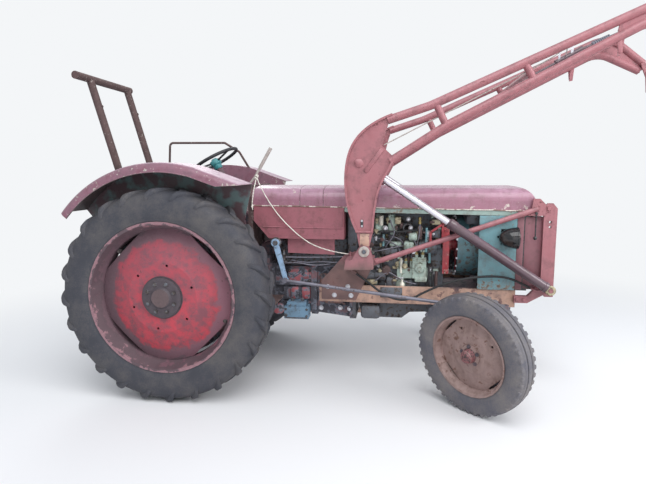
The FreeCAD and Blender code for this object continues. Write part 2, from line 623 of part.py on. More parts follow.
def cooling():
    """Radiator behind the grille, with the fan in its round shroud."""
    rear = COWL_REAR + 45
    core = box(rear, rear + 70, -250, 250, 760, 1180)
    top = box(rear + 1, rear + 85, -256, 256, 1180, 1255)
    foot = box(rear + 1, rear + 85, -256, 256, 735, 762)
    neck = upright(rear + 35, 0, 34, 1253, 1290)
    emit("radiator", fused(core, top, foot, neck))
    ring = turned([(205, 0), (232, 0), (232, 160), (250, 160), (250, 180), (200, 180), (200, 160), (205, 150)],
                  (1995, 0, 1010), (1, 0, 0))
    emit("fan_shroud", ring)
    hub = rod((ENGINE_FRONT_X, 0, 1010), (1990, 0, 1010), 42)
    pulley = rod((1925, 0, 1010), (1957, 0, 1010), 86)
    blades = []
    for number in range(6):
        blade = box(-4, 4, -38, 38, 30, 190)
        blade.rotate(V(0, 0, 0), V(0, 0, 1), 32)
        blade.rotate(V(0, 0, 0), V(1, 0, 0), 60 * number)
        blade.translate(V(2020, 0, 1010))
        blades.append(blade)
    disc = rod((1985, 0, 1010), (2034, 0, 1010), 46)
    emit("fan", fused(hub, pulley, disc, *blades))


# Body panels

def bonnet_edge(x):
    """Height of the bonnet's lower edge."""
    share = (x - BONNET_REAR) / (BONNET_FRONT - BONNET_REAR)
    return BONNET_EDGE_REAR + share * (BONNET_EDGE_FRONT - BONNET_EDGE_REAR)


def bonnet_form(inset):
    """The bonnet as a full block, drawn in from its outside by a wall's thickness."""
    half, corner = BONNET_HALF - inset, BONNET_CORNER - inset
    top, crown, foot = BONNET_TOP - inset, 14, BONNET_EDGE_FRONT - 60
    shoulder = top - crown
    x0 = BONNET_REAR if inset == 0 else BONNET_REAR - 10
    left, right = V(x0, half, shoulder - corner), V(x0, -half, shoulder - corner)
    turn = corner * math.sqrt(0.5)
    edges = [Part.LineSegment(V(x0, half, foot), left).toShape(),
             Part.Arc(left, V(x0, half - corner + turn, shoulder - corner + turn),
                      V(x0, half - corner, shoulder)).toShape(),
             Part.Arc(V(x0, half - corner, shoulder), V(x0, 0, top),
                      V(x0, corner - half, shoulder)).toShape(),
             Part.Arc(V(x0, corner - half, shoulder),
                      V(x0, corner - half - turn, shoulder - corner + turn), right).toShape(),
             Part.LineSegment(right, V(x0, -half, foot)).toShape(),
             Part.LineSegment(V(x0, -half, foot), V(x0, half, foot)).toShape()]
    tunnel = Part.Face(Part.Wire(edges)).extrude(V(BONNET_FRONT - inset - x0, 0, 0))
    nose = BONNET_FRONT - inset
    bend = 150.0
    path = [Part.LineSegment(V(x0, -half, foot), V(nose, -half, foot)).toShape(),
            Part.LineSegment(V(nose, -half, foot), V(nose, -half, top - bend)).toShape(),
            Part.Arc(V(nose, -half, top - bend), V(nose - bend * 0.29, -half, top - bend * 0.29),
                     V(nose - bend, -half, top)).toShape(),
            Part.LineSegment(V(nose - bend, -half, top), V(x0, -half, top)).toShape(),
            Part.LineSegment(V(x0, -half, top), V(x0, -half, foot)).toShape()]
    side = Part.Face(Part.Wire(path)).extrude(V(0, 2 * half, 0))
    return tunnel.common(side)


def bonnet():
    shell = bonnet_form(0).cut(bonnet_form(SHEET))
    back, ahead, wide = BONNET_REAR - 20, BONNET_FRONT + 20, BONNET_HALF + 20
    below = side_plate([(back, bonnet_edge(back)), (ahead, bonnet_edge(ahead)), (ahead, 1000), (back, 1000)],
                       -wide, wide)
    shell = shell.cut(below)
    sections = []
    # rear end, front end of each panel
    for start, end in ((BONNET_REAR, 842), (842 + PANEL_GAP, 1015), (1015 + PANEL_GAP, BONNET_FRONT)):
        sections.append(shell.common(box(start, end, -400, 400, 1000, 1600)))
    emit("bonnet", Part.makeCompound(sections))
    rear, step, front = BONNET_REAR + 45, TANK_FRONT + PANEL_GAP, COWL_FRONT
    strip = [(rear, bonnet_edge(rear) + 22), (front, bonnet_edge(front) + 22),
             (front, bonnet_edge(front) - 34), (step, bonnet_edge(step) - 34),
             (step, bonnet_edge(step)), (rear, bonnet_edge(rear))]
    outer = BONNET_HALF - SHEET
    emit("bonnet_rails", pair(side_plate(strip, outer - 26, outer)))


def tank():
    """Fuel tank under the rear of the bonnet; its side is the panel below the edge."""
    rear, front = BONNET_REAR + 12, TANK_FRONT
    outline = [(rear, bonnet_edge(rear) - PANEL_GAP), (rear, TANK_FLOOR + 130), (604, TANK_FLOOR),
               (front, TANK_FLOOR), (front, bonnet_edge(front) - PANEL_GAP)]
    body = side_plate(outline, 2 - BONNET_HALF, BONNET_HALF - 2)
    bead = side_plate([(rear + 30, TANK_FLOOR + 150), (614, TANK_FLOOR + 26),
                       (front - 20, TANK_FLOOR + 26), (front - 20, TANK_FLOOR + 34),
                       (618, TANK_FLOOR + 34), (rear + 36, TANK_FLOOR + 154)], -BONNET_HALF, BONNET_HALF)
    case = side_plate([(740, 965), (1095, 955), (1095, TANK_FLOOR), (740, TANK_FLOOR)], -262, 262)
    case = case.cut(box(700, 1120, -240, 240, 900, TANK_FLOOR - 10))
    emit("fuel_tank", fused(body, bead, case))


def cowl():
    """Side panels round the radiator, and the grille ahead of them."""
    top = bonnet_edge(COWL_FRONT) - 34
    panel = box(COWL_REAR, COWL_FRONT, BONNET_HALF - 54, BONNET_HALF, COWL_FLOOR, top)
    panel = panel.cut(box(COWL_REAR - 1, COWL_FRONT - 12, 0, BONNET_HALF - SHEET, COWL_FLOOR + 12, top + 1))
    panel = panel.cut(rod((LAMP_X - 52, LAMP_Y, LAMP_Z), (COWL_FRONT + 1, LAMP_Y, LAMP_Z), LAMP_RADIUS + 4))
    emit("cowl_panels", pair(panel))
    front = BONNET_FRONT - 45
    frame = box(COWL_FRONT, front, -BONNET_HALF + 4, BONNET_HALF - 4, COWL_FLOOR, top)
    frame = frame.cut(box(COWL_FRONT - 1, front + 1, 40 - BONNET_HALF, BONNET_HALF - 40,
                          COWL_FLOOR + 30, top - 30))
    bars = [box(COWL_FRONT + 30, COWL_FRONT + 38, y, y + 12, COWL_FLOOR + 20, top - 20)
            for y in range(-246, 250, 40)]
    emit("grille", frame.multiFuse(bars).removeSplitter())
    r = LAMP_RADIUS
    shell = turned([(0, -62), (0.42 * r, -56), (0.74 * r, -38), (0.94 * r, -10), (r, 22), (r, 40),
                    (0.9 * r, 48), (0, 58)], (LAMP_X, LAMP_Y, LAMP_Z), (1, 0, 0))
    stay = box(LAMP_X - 84, LAMP_X, BONNET_HALF - SHEET - 8, BONNET_HALF - SHEET, LAMP_Z - 16, LAMP_Z + 16)
    emit("headlamps", pair(shell.fuse(stay)))


def dash():
    """Bulkhead behind the tank with the instrument panel, levers and pedals."""
    x0, x1 = BONNET_REAR - 28, BONNET_REAR
    wall = cross_plate([(-300, 1000), (300, 1000), (318, 1300), (318, 1390), (250, 1474), (-250, 1474),
                        (-318, 1390), (-318, 1300)], x0, x1)
    panel = side_plate([(x0 + 1, 1250), (x0 - 40, 1290), (x0 - 50, 1440), (x0 + 1, 1462)], -180, 180)
    wall = wall.cut(box(x0 - 1, x1 + 1, -40, 40, 900, 1078))
    emit("dash_panel", fused(wall, panel, box(x0, BONNET_REAR + 12, -306, 306, 1210, 1280)))
    lever = bent_tube([(x0 - 12, -290, 1390), (x0 - 12, -290, 1455), (500, -290, 1530), (545, -290, 1608)],
                      9, 40)
    grip = rod((541, -290, 1600), (626, -290, 1745), 13)
    knots = []
    for route in (ROPE_ROUTE, ROPE_TAIL):
        start = V(*route[0])
        ahead = (V(*route[1]) - start).normalize()
        knots.append(rod(start - ahead * 16, start, ROPE_RADIUS + 2))
    emit("hand_lever", fused(lever, grip, box(x0 - 28, x0, -302, -278, 1372, 1408), *knots))


def steering():
    """Steering box on the gearbox, its column and the hand wheel."""
    lean = math.radians(COLUMN_SLOPE)
    axis = V(-math.sin(lean), 0, math.cos(lean))
    top = V(*HAND_WHEEL_CENTRE)
    start = top - axis * 30
    foot = top - axis * ((top.z - CASE_TOP - 20) / math.cos(lean))
    px, py, pz = DROP_PIVOT
    casting = side_plate([(foot.x - 50, CASE_TOP + FIT), (foot.x - 55, 965), (foot.x - 5, 996),
                          (px + 45, TANK_FLOOR - 4), (px + 52, pz - 60), (px + 30, GEARBOX_TOP + 28 + FIT),
                          (GEARBOX_X + 22, GEARBOX_TOP + 28 + FIT), (GEARBOX_X + 22, CASE_TOP + FIT)], -85, 85)
    column = Part.makeCylinder(26, (start - foot).Length, foot, axis)
    shaft_case = across(px, pz, 25, -300, 0)
    pin = across(px, pz, 17, py - 12, -290)
    bore = Part.makeCylinder(12 + FIT, 400, top - axis * 230, axis)
    emit("steering_column", fused(casting, column, shaft_case, pin).cut(bore))
    ring = Part.makeTorus(HAND_WHEEL_RADIUS - 13, 13, top + axis * 12, axis)
    hub = Part.makeCylinder(42, 34, top - axis * 24, axis)
    stem = Part.makeCylinder(12, 210, top - axis * 220, axis)
    across_axis = V(0, 1, 0)
    along = axis.cross(across_axis)
    spokes = []
    for number in range(3):
        angle = math.radians(90 + 120 * number)
        out = along * math.cos(angle) + across_axis * math.sin(angle)
        spokes.append(Part.makeCylinder(8, HAND_WHEEL_RADIUS - 20, top - axis * 4, out + axis * 0.07))
    emit("steering_wheel", fused(ring, hub, stem, *spokes))
    emit("drop_arm", drop_arm_shape())
    eye = drop_eye()
    end = turn_about_kingpin(0, STEER_ARM, "right")
    front = V(end[0], end[1], STEER_ARM_Z - 34)
    link = Part.makeCylinder(ROD_RADIUS, (front - eye).Length, eye, front - eye)
    joints = [across(eye.x, eye.z, 19, eye.y - 15, eye.y + 15),
              across(eye.x, eye.z, STUD_RADIUS, eye.y, eye.y + 47),
              upright(front.x, front.y, 19, front.z - 14, front.z + 14)]
    emit("drag_link", fused(link, *joints))


def drop_eye():
    """Centre of the ball joint at the foot of the drop arm."""
    px, py, pz = DROP_PIVOT
    lean = math.radians(DROP_LEAN)
    return V(px + DROP_ARM * math.sin(lean), py - 32, pz - DROP_ARM * math.cos(lean))


def drop_arm_shape():
    px, py, pz = DROP_PIVOT
    bar = side_plate([(-22, 20), (22, 20), (15, -DROP_ARM - 12), (-15, -DROP_ARM - 12)], py - 9, py + 9)
    bar = bar.fuse(across(0, 0, 32, py - 12, py + 12)).fuse(across(0, -DROP_ARM, 20, py - 9, py + 9))
    bar = bar.cut(across(0, 0, 17 + FIT, py - 20, py + 20))
    bar = bar.cut(across(0, -DROP_ARM, STUD_RADIUS + STUD_PLAY, py - 20, py + 20)).removeSplitter()
    bar.rotate(V(0, 0, 0), V(0, 1, 0), -DROP_LEAN)
    bar.translate(V(px, 0, pz))
    return bar


# Mudguards, platform, seat and roll bar

def arc_points(radius, start, end, steps):
    """Corners of an arc about the rear axle, degrees from forward."""
    out = []
    for step in range(steps + 1):
        angle = math.radians(start + (end - start) * step / steps)
        out.append((radius * math.cos(angle), REAR_TYRE_RADIUS + radius * math.sin(angle)))
    return out


def guard_sheet():
    """The sheet over the left-hand tyre: a rounded shoulder and a skirt, with a straight front."""
    spread = math.radians(GUARD_FRONT_ANGLE)

    def at(radius, y):
        return V(radius * math.cos(spread), y, REAR_TYRE_RADIUS + radius * math.sin(spread))
    out, side, corner = GUARD_RADIUS, GUARD_OUTER_Y, GUARD_CORNER
    turn = corner * (1 - math.sqrt(0.5))
    inner_turn = SHEET + (corner - SHEET) * (1 - math.sqrt(0.5))
    lip = out - GUARD_LIP
    edges = [Part.LineSegment(at(out, GUARD_INNER_Y), at(out, side - corner)).toShape(),
             Part.Arc(at(out, side - corner), at(out - turn, side - turn), at(out - corner, side)).toShape(),
             Part.LineSegment(at(out - corner, side), at(lip, side)).toShape(),
             Part.LineSegment(at(lip, side), at(lip, side - SHEET)).toShape(),
             Part.LineSegment(at(lip, side - SHEET), at(out - corner, side - SHEET)).toShape(),
             Part.Arc(at(out - corner, side - SHEET), at(out - inner_turn, side - inner_turn),
                      at(out - SHEET, side - corner)).toShape(),
             Part.LineSegment(at(out - SHEET, side - corner), at(out - SHEET, GUARD_INNER_Y)).toShape(),
             Part.LineSegment(at(out - SHEET, GUARD_INNER_Y), at(out, GUARD_INNER_Y)).toShape()]
    profile = Part.Face(Part.Wire(edges))
    bow = profile.revolve(V(0, 0, REAR_TYRE_RADIUS), V(0, -1, 0), GUARD_REAR_ANGLE - GUARD_FRONT_ANGLE)
    tip_x, tip_z = GUARD_TIP
    start = at(out, 0)
    front = profile.extrude(V(tip_x - start.x, 0, tip_z - start.z))
    taper = side_plate([(tip_x - 176, tip_z - 12), (tip_x + 5, tip_z - SHEET - 0.5), (tip_x + 5, tip_z - 200),
                        (tip_x - 176, tip_z - 200)], GUARD_INNER_Y - 5, GUARD_OUTER_Y + 5)
    return fused(bow, front.cut(taper))


def mudguards():
    height = REAR_TYRE_RADIUS
    tip_x, tip_z = GUARD_TIP
    wall = arc_points(GUARD_RADIUS - 1, GUARD_REAR_ANGLE, GUARD_FRONT_ANGLE, 9)
    wall += [(tip_x - 2, tip_z - 1), (tip_x - 60, height + 505), (tip_x - 36, height + 165),
             (330, height + 96), (-150, height + 96), (-380, height + 165)]
    side = side_plate(wall, GUARD_INNER_Y - SHEET, GUARD_INNER_Y)
    seat_z = height + 88 + FIT
    bracket = box(-60, 60, GUARD_INNER_Y - 52, GUARD_INNER_Y, seat_z, seat_z + 10)
    whole = fused(guard_sheet(), side, bracket)
    emit("mudguard_left", whole)
    emit("mudguard_right", mirrored(whole))


def platform():
    outer = GUARD_INNER_Y - SHEET
    plate = box(135, 700, CASE_HALF + 28, outer, PLATFORM_Z, PLATFORM_Z + 6)
    edge = box(135, 700, outer - 6, outer, PLATFORM_Z - 32, PLATFORM_Z + 6)
    arms = [box(x, x + 40, CASE_HALF, outer - 56, PLATFORM_Z - 26, PLATFORM_Z) for x in (180, 520)]
    emit("footplates", pair(fused(plate, edge, *arms)))


def seat():
    pan = side_plate([(-470, 1180), (-430, 1150), (-150, 1150), (-110, 1175), (-110, 1205), (-420, 1200),
                      (-470, 1360), (-500, 1360)], -215, 215)
    hollow = side_plate([(-440, 1210), (-150, 1215), (-150, 1400), (-440, 1400)], -175, 175)
    spring = side_plate([(-300, 1150), (-340, 1150), (-380, 1080), (-60, CASE_TOP + 78), (40, CASE_TOP + 70),
                         (40, CASE_TOP + 78), (-50, CASE_TOP + 90), (-350, 1086)], -35, 35)
    emit("driver_seat", fused(pan.cut(hollow), spring))


def roll_bar():
    path = [(-780, BAR_Y, 2262), (-593, BAR_Y, 1610), (-380, BAR_Y, 880)]
    posts = [bent_tube([(x, s * y, z) for x, y, z in path], BAR_RADIUS, 300) for s in (-1, 1)]
    cross = across(-784, 2275, BAR_RADIUS, -463, 325)
    feet = []
    for s in (-1, 1):
        plate = side_plate([(-430, 930), (-330, 960), (-60, 850), (40, 840), (40, 800), (-110, 790),
                            (-400, 850)], *sorted((s * (BAR_Y - 8), s * (BAR_Y + 8))))
        feet.append(plate)
    studs = [rod((-724, s * BAR_Y, 2062), (-690, s * BAR_Y, 2072), 9) for s in (-1, 1)]
    whole = fused(cross, *posts, *feet, *studs)
    for s in (-1, 1):
        whole = whole.cut(across(0, REAR_TYRE_RADIUS, 124.1, s * 200, s * 420))
    emit("roll_bar", whole)


def grab_rail():
    """A bent bar on top of the left-hand mudguard; both its feet follow the sheet."""
    y, top = GUARD_INNER_Y + 14, GUARD_RADIUS + REAR_TYRE_RADIUS + 201
    path = [(-565, y, top - 390), (-540, y, top + 2), (-15, y, top - 2), (120, y, top - 84),
            (226, y, top - 256)]
    guard = across(0, REAR_TYRE_RADIUS, GUARD_RADIUS + FIT, y - 20, y + 20)
    emit("grab_rail", bent_tube(path, 10, 34).cut(guard))


def drawbar():
    bar = flat_plate([(CASE_REAR_X + 40, -110), (-560, -34), (-640, -34), (-640, 34), (-560, 34),
                      (CASE_REAR_X + 40, 110), (200, 60), (200, -60)], DRAWBAR_Z - 16, DRAWBAR_Z + 16)
    bar = bar.cut(upright(-600, 0, 15, DRAWBAR_Z - 20, DRAWBAR_Z + 20))
    hangers = [box(x, x + 40, -90, 90, DRAWBAR_Z + 16, CASE_FLOOR) for x in (CASE_REAR_X + 60, 120)]
    emit("drawbar", fused(bar, *hangers))


# Loader

def rails():
    web = box(RAIL_REAR, RAIL_FRONT, RAIL_INNER, RAIL_OUTER, RAIL_FLOOR, RAIL_TOP)
    web = web.cut(box(RAIL_REAR - 1, RAIL_FRONT + 1, RAIL_INNER - 1, RAIL_OUTER - 10,
                      RAIL_FLOOR + 12, RAIL_TOP - 12))
    pads = box(1000, 1180, GEARBOX_HALF, RAIL_OUTER - 8, 664, 716)
    seats = box(ENGINE_X + FLANGE + 6, 1326, ENGINE_HALF, RAIL_OUTER - 8, 625, 700)
    emit("frame_rails", pair(fused(web, pads, seats)))
    half, front = RAIL_INNER, COWL_FRONT
    ears = [box(WHEELBASE + x, WHEELBASE + x + 42, -120, 120, 452, 640) for x in (-82, 40)]
    seats = [box(front - back, front - back + long, -half, half, 700, COWL_FLOOR)
             for back, long in ((85, 85), (235, 120))]
    casting = fused(box(1900, front, -half, half, 640, 700), *seats, *ears)
    casting = casting.cut(rod((WHEELBASE - 132, 0, 510), (WHEELBASE + 168, 0, 510), 24 + FIT))
    emit("front_support", casting)


def brackets():
    """Boom bearings: a plate on the rail, a box arm outwards and two ears round the boom."""
    px, pz = PIVOT
    outline = [(1005, RAIL_FLOOR + 20), (1262, RAIL_FLOOR + 20), (1380, 880), (1400, 960), (1290, 1000),
               (1180, 970), (1005, 770)]
    plate = side_plate(outline, RAIL_OUTER, RAIL_OUTER + 14)
    arm = side_plate([(1190, 885), (BRACE_REAR, 895), (BRACE_REAR, 955), (1200, 958)],
                     RAIL_OUTER + 10, ARM_Y + 32)
    arm = arm.cut(side_plate([(1202, 897), (1380, 906), (1384, 944), (1210, 946)], RAIL_OUTER + 14, ARM_Y + 20))
    ears = []
    for y0 in (ARM_Y - 32, ARM_Y + 18):
        ears.append(side_plate([(px - 90, 950), (px - 42, pz + 18), (px - 18, pz + 40), (px + 18, pz + 40),
                                (px + 42, pz + 18), (px + 66, 950)], y0, y0 + 14))
    pin = across(px, pz, PIN_RADIUS, ARM_Y - 44, ARM_Y + 44)
    left = fused(plate, arm, pin, *ears)
    hx, hy, hz = HOSE_ROUTE[0]
    ahead = (V(*HOSE_ROUTE[1]) - V(*HOSE_ROUTE[0])).normalize()
    union = rod(V(*HOSE_ROUTE[0]) - ahead * 46, HOSE_ROUTE[0], HOSE_RADIUS + 4)
    clip = box(hx - 60, hx - 24, hy - 6, -RAIL_OUTER - 12, hz - 4, hz + 44)
    tied = V(*ROPE_ROUTE[-1])
    onward = (tied - V(*ROPE_ROUTE[-2])).normalize()
    knot = rod(tied, tied + onward * 14, ROPE_RADIUS + 2)
    stud = upright(tied.x + 14, tied.y, 7, 950, tied.z + 18)
    emit("loader_brackets", Part.makeCompound([left, fused(mirrored(left), union, clip, stud, knot)]))


def front_frame():
    """Uprights ahead of the grille, tied back to the boom bearings by a brace."""
    x0, x1 = UPRIGHT_X
    y0, y1 = UPRIGHT_Y - 14, UPRIGHT_Y + 14
    eye_x, eye_z = CYLINDER_EYE
    plate = side_plate([(x0, UPRIGHT_FOOT + 40), (x0 + 30, UPRIGHT_FOOT), (x1, UPRIGHT_FOOT),
                        (x1, UPRIGHT_TOP), (x1 - 30, UPRIGHT_TOP + 36), (x0 + 24, UPRIGHT_TOP + 36),
                        (x0, UPRIGHT_TOP)], y0, y1)
    for z in (1190, 1225):
        plate = plate.cut(across((x0 + x1) / 2, z, 9, 0, 500))
    lug = side_plate([(x0 - 90, 1268), (x0 + 10, 1268), (x0 + 10, 1345), (x0 - 30, 1385), (x0 - 74, 1385)],
                     BRACE_Y - 8, BRACE_Y + 8)
    shelf = side_plate([(x0 - 172, 650), (x0 - 82, 650), (x0 + 20, UPRIGHT_FOOT + 10),
                        (x0 + 20, UPRIGHT_FOOT + 110), (x0 - 82, 700), (x0 - 172, 700)], RAIL_OUTER, y1)
    brace = rod((BRACE_REAR + 10, BRACE_Y, 921), (x0 - 40, BRACE_Y, 1315), BRACE_RADIUS)
    flat = side_plate([(BRACE_REAR, 896), (BRACE_REAR + 36, 910), (BRACE_REAR + 28, 952), (BRACE_REAR, 946)],
                      BRACE_Y - 10, BRACE_Y + 10)
    pin = across(eye_x, eye_z, PIN_RADIUS - 1, UPRIGHT_Y, CYLINDER_Y + 34)
    collar = across(eye_x, eye_z, 30, UPRIGHT_Y, CYLINDER_Y - BARREL_RADIUS - 6)
    end = V(*HOSE_ROUTE[-1])
    corner = end + (end - V(*HOSE_ROUTE[-2])).normalize() * 40
    pipe = bent_tube([tuple(end), tuple(corner), (eye_x - 20, end.y, eye_z - 10)], HOSE_PIPE, 25)
    half = fused(plate, lug, shelf, brace, flat, pin, collar)
    cross = across((x0 + x1) / 2, UPRIGHT_FOOT + 60, 28, -UPRIGHT_Y, UPRIGHT_Y)
    emit("loader_front_frame", fused(half, mirrored(half), pipe, cross))


def arm():
    """One boom arm, left-hand side: a flat knee, then two tubes and an end plate."""
    y0, y1 = ARM_Y - 28, ARM_Y + 28
    px, pz = PIVOT
    # outer edge of the knee from the fork upwards, and its inner edge back down
    outer = smooth([(1275, 1150), (1250, 1202), (1208, 1341), (1190, 1480), (1196, 1617), (1230, 1739),
                    (1301, 1838), (1395, 1907), (1509, 1958)], 26)
    inner = smooth([(1533, 1662), (1488, 1568), (1441, 1473), (1409, 1343), (1390, 1155)], 14)
    body = side_plate(outer + [(1470, 1843), (1445, 1743)] + inner, ARM_Y - 12, ARM_Y + 12)
    rims = [side_plate(band(edge, KNEE_RIM), y0, y1) for edge in (outer, inner)]
    tongue = side_plate([(1275, 1155), (1390, 1155), (px + 30, pz + 8), (px + 18, pz - 26), (px - 18, pz - 26),
                         (px - 30, pz + 8)], ARM_Y - 12, ARM_Y + 12)
    upper = bent_tube([(1480, ARM_Y, 1915), (1762, ARM_Y, 2005), (3180, ARM_Y, 2620), TIP_UPPER], ARM_TUBE, 220)
    lower = bent_tube([(1500, ARM_Y, 1640), (1879, ARM_Y, 1880), (3100, ARM_Y, 2500), TIP_LOWER], ARM_TUBE, 200)
    posts = [rod((1800, ARM_Y, 2010), (1868, ARM_Y, 1870), 24),
             rod((2355, ARM_Y, 2250), (2410, ARM_Y, 2150), 24)]
    web = side_plate([(2894, 2440), (2905, 2490), (3170, 2600), (TIP[0] + 5, TIP[1] + 38),
                      (TIP[0] - 20, TIP[1] - 40), (3110, 2480), (2900, 2395)], ARM_Y - 6, ARM_Y + 6)
    hook = side_plate([(2905, 2400), (2935, 2412), (2925, 2290), (2902, 2286)], ARM_Y - 8, ARM_Y + 8)
    whole = fused(body, tongue, upper, lower, web, hook, *posts, *rims)
    whole = whole.cut(across(px, pz, PIN_RADIUS + FIT, 0, 600))
    whole = whole.cut(across(TIP[0], TIP[1], PIN_RADIUS + FIT, 0, 600))
    return whole


TIP_UPPER = (TIP[0] + 4, ARM_Y, TIP[1] + 30)
TIP_LOWER = (TIP[0] - 24, ARM_Y, TIP[1] - 24)


def boom():
    left = arm()
    emit("boom_arm_left", left)
    emit("boom_arm_right", mirrored(left))
    # x, z, radius and reach of each tube between the arms
    ties = ((1402, 1872, 26, ARM_Y - 12), (2385, 2198, 22, ARM_Y - 24), (3150, 2555, 30, ARM_Y - 6))
    right = mirrored(left)
    tubes = [across(x, z, r, -reach, reach).cut(left).cut(right) for x, z, r, reach in ties]
    emit("boom_cross_tubes", Part.makeCompound(tubes))
    latch = fused(rod((2420, 60, 2215), (2760, 60, 2395), 10), rod((2680, 60, 2352), (2860, 60, 2447), 22),
                  rod((2850, 60, 2440), (3130, 60, 2560), 12))
    emit("latch_rod", latch.cut(Part.makeCompound(tubes)))


def carrier():
    """Tool carrier hinged between the arm tips."""
    x, z = TIP
    y1 = ARM_Y - ARM_TUBE - 6
    plate = side_plate([(x - 32, z + 26), (x + 20, z + 34), (x + 60, z - 60), (x + 62, z - 190),
                        (x + 24, z - 196), (x + 12, z - 80)], y1 - 14, y1)
    plate = plate.cut(across(x + 42, z - 160, CARRIER_BORE, 0, 600))
    pin = across(x, z, PIN_RADIUS, y1 - 14, ARM_Y + 30)
    half = fused(plate, pin)
    cross = across(x + 38, z - 60, 24, -y1 + 7, y1 - 7)
    emit("tool_carrier", fused(half, mirrored(half), cross))


def soft_lines():
    """The lift hose, and the trip rope with its loose end."""
    emit("lift_hose", cord(HOSE_ROUTE, HOSE_RADIUS))
    emit("trip_rope", cord(ROPE_ROUTE, ROPE_RADIUS))
    emit("rope_tail", cord(ROPE_TAIL, ROPE_RADIUS))


def lift_cylinders():
    ex, ez = CYLINDER_EYE
    rx, rz = ROD_PIN
    eye, pin = V(ex, CYLINDER_Y, ez), V(rx, CYLINDER_Y, rz)
    line = (pin - eye)
    length = line.Length
    line.normalize()
    barrel = Part.makeCylinder(BARREL_RADIUS, BARREL_LENGTH - 24, eye + line * 24, line)
    gland = Part.makeCylinder(BARREL_RADIUS - 4, 24, eye + line * (BARREL_LENGTH - 4), line)
    barrel = fused(barrel, gland, across(ex, ez, 34, CYLINDER_Y - 20, CYLINDER_Y + 20))
    barrel = barrel.cut(across(ex, ez, PIN_RADIUS - 1 + FIT, 0, 600))
    barrel = barrel.cut(Part.makeCylinder(LIFT_ROD_RADIUS + FIT, BARREL_LENGTH, eye + line * 90, line))
    start = eye + line * (BARREL_LENGTH + 20 - ROD_OVERLAP)
    rod_bar = Part.makeCylinder(LIFT_ROD_RADIUS, (pin - start).Length - 24, start, line)
    rod_eye = across(rx, rz, 34, CYLINDER_Y - 18, CYLINDER_Y + 18)
    rod_pin = across(rx, rz, PIN_RADIUS, CYLINDER_Y - 26, ARM_Y - 29.5)
    rod_whole = fused(rod_bar, rod_eye, rod_pin)
    for side, b, r in (("left", barrel, rod_whole), ("right", mirrored(barrel), mirrored(rod_whole))):
        emit("lift_barrel_" + side, b)
        emit("lift_rod_" + side, r)


def build():
    rear_wheels()
    front_wheels()
    front_axle()
    rear_case()
    gearbox()
    clutch_housing()
    engine()
    cooling()
    bonnet()
    tank()
    cowl()
    dash()
    steering()
    mudguards()
    platform()
    seat()
    roll_bar()
    grab_rail()
    drawbar()
    rails()
    brackets()
    front_frame()
    boom()
    carrier()
    lift_cylinders()
    soft_lines()
    os.makedirs("parts", exist_ok=True)
    for name, shape in NODES.items():
        shape.exportStep("parts/" + name + ".step")
        size = shape.BoundBox
        print("%-22s solids %d valid %s" % (name, len(shape.Solids), shape.isValid()),
              "x %.0f %.0f y %.0f %.0f z %.0f %.0f" % (
                  size.XMin, size.XMax, size.YMin, size.YMax, size.ZMin, size.ZMax))


build()
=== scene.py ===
import math
import random
from functools import partial
import bmesh
import bpy
from mathutils import Matrix, Vector


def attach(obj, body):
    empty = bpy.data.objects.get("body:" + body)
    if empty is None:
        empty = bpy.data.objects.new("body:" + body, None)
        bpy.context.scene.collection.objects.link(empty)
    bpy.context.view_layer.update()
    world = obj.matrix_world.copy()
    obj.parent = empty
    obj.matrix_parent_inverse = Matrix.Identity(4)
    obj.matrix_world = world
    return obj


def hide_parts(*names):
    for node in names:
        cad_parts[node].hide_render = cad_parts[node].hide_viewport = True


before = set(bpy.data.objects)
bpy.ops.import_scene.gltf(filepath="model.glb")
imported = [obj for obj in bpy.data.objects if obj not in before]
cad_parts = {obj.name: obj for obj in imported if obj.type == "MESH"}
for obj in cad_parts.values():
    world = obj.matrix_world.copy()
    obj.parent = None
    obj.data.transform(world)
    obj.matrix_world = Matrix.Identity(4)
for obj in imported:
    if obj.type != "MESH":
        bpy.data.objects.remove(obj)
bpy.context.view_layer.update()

# %% [markdown]
# A small farm tractor with a front loader, old and faded, its loader raised.
# Everything is in metres in the model's own frame: X forward, Y to the driver's left, Z up.
# Most views of a machine like this are measured from the rear axle, so one value moves
# a point from there into the frame.

# %% Shared places
MM = 0.001
SIDES = ((-1, "right"), (1, "left"))
# the middle of a rear wheel's box is the rear axle, to the millimetre
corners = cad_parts["rear_wheel_right"].bound_box
REAR_AXLE_X, AXLE_HEIGHT = (round(sum(corner[i] for corner in corners) / len(corners), 3) for i in (0, 2))


def place(x, y, z):
    """A point given from the rear axle, in the frame."""
    return Vector((x + REAR_AXLE_X, y, z))


print("rear axle at", REAR_AXLE_X, AXLE_HEIGHT)


# %% [markdown]
# The camera stands about four metres off the right-hand side, at head height.
# It could be aimed with a tracking constraint, but its two angles are known, so it is
# simply turned by them.

# %% Camera
EYE = place(1.5576, -4.0723, 1.5709)
YAW, PITCH, ROLL = 0.1432, 0.1344, -0.0021
camera_data = bpy.data.cameras.new("camera")
camera_data.lens = 28.94
camera_data.sensor_width = 36.0
camera = bpy.data.objects.new("camera", camera_data)
bpy.context.scene.collection.objects.link(camera)
look = Matrix.Rotation(YAW, 4, "Z") @ Matrix.Rotation(math.pi / 2 - PITCH, 4, "X")
look = look @ Matrix.Rotation(ROLL, 4, "Z")
camera.matrix_world = Matrix.Translation(EYE) @ look
bpy.context.scene.camera = camera
print("camera at", tuple(round(v, 3) for v in EYE))

# %% [markdown]
# Materials are node trees. A wrapper for every kind of node would be long, so one small
# function adds any node with its settings and links. A second one turns a hex colour, as a
# paint chart gives it, into the linear values that nodes work with.

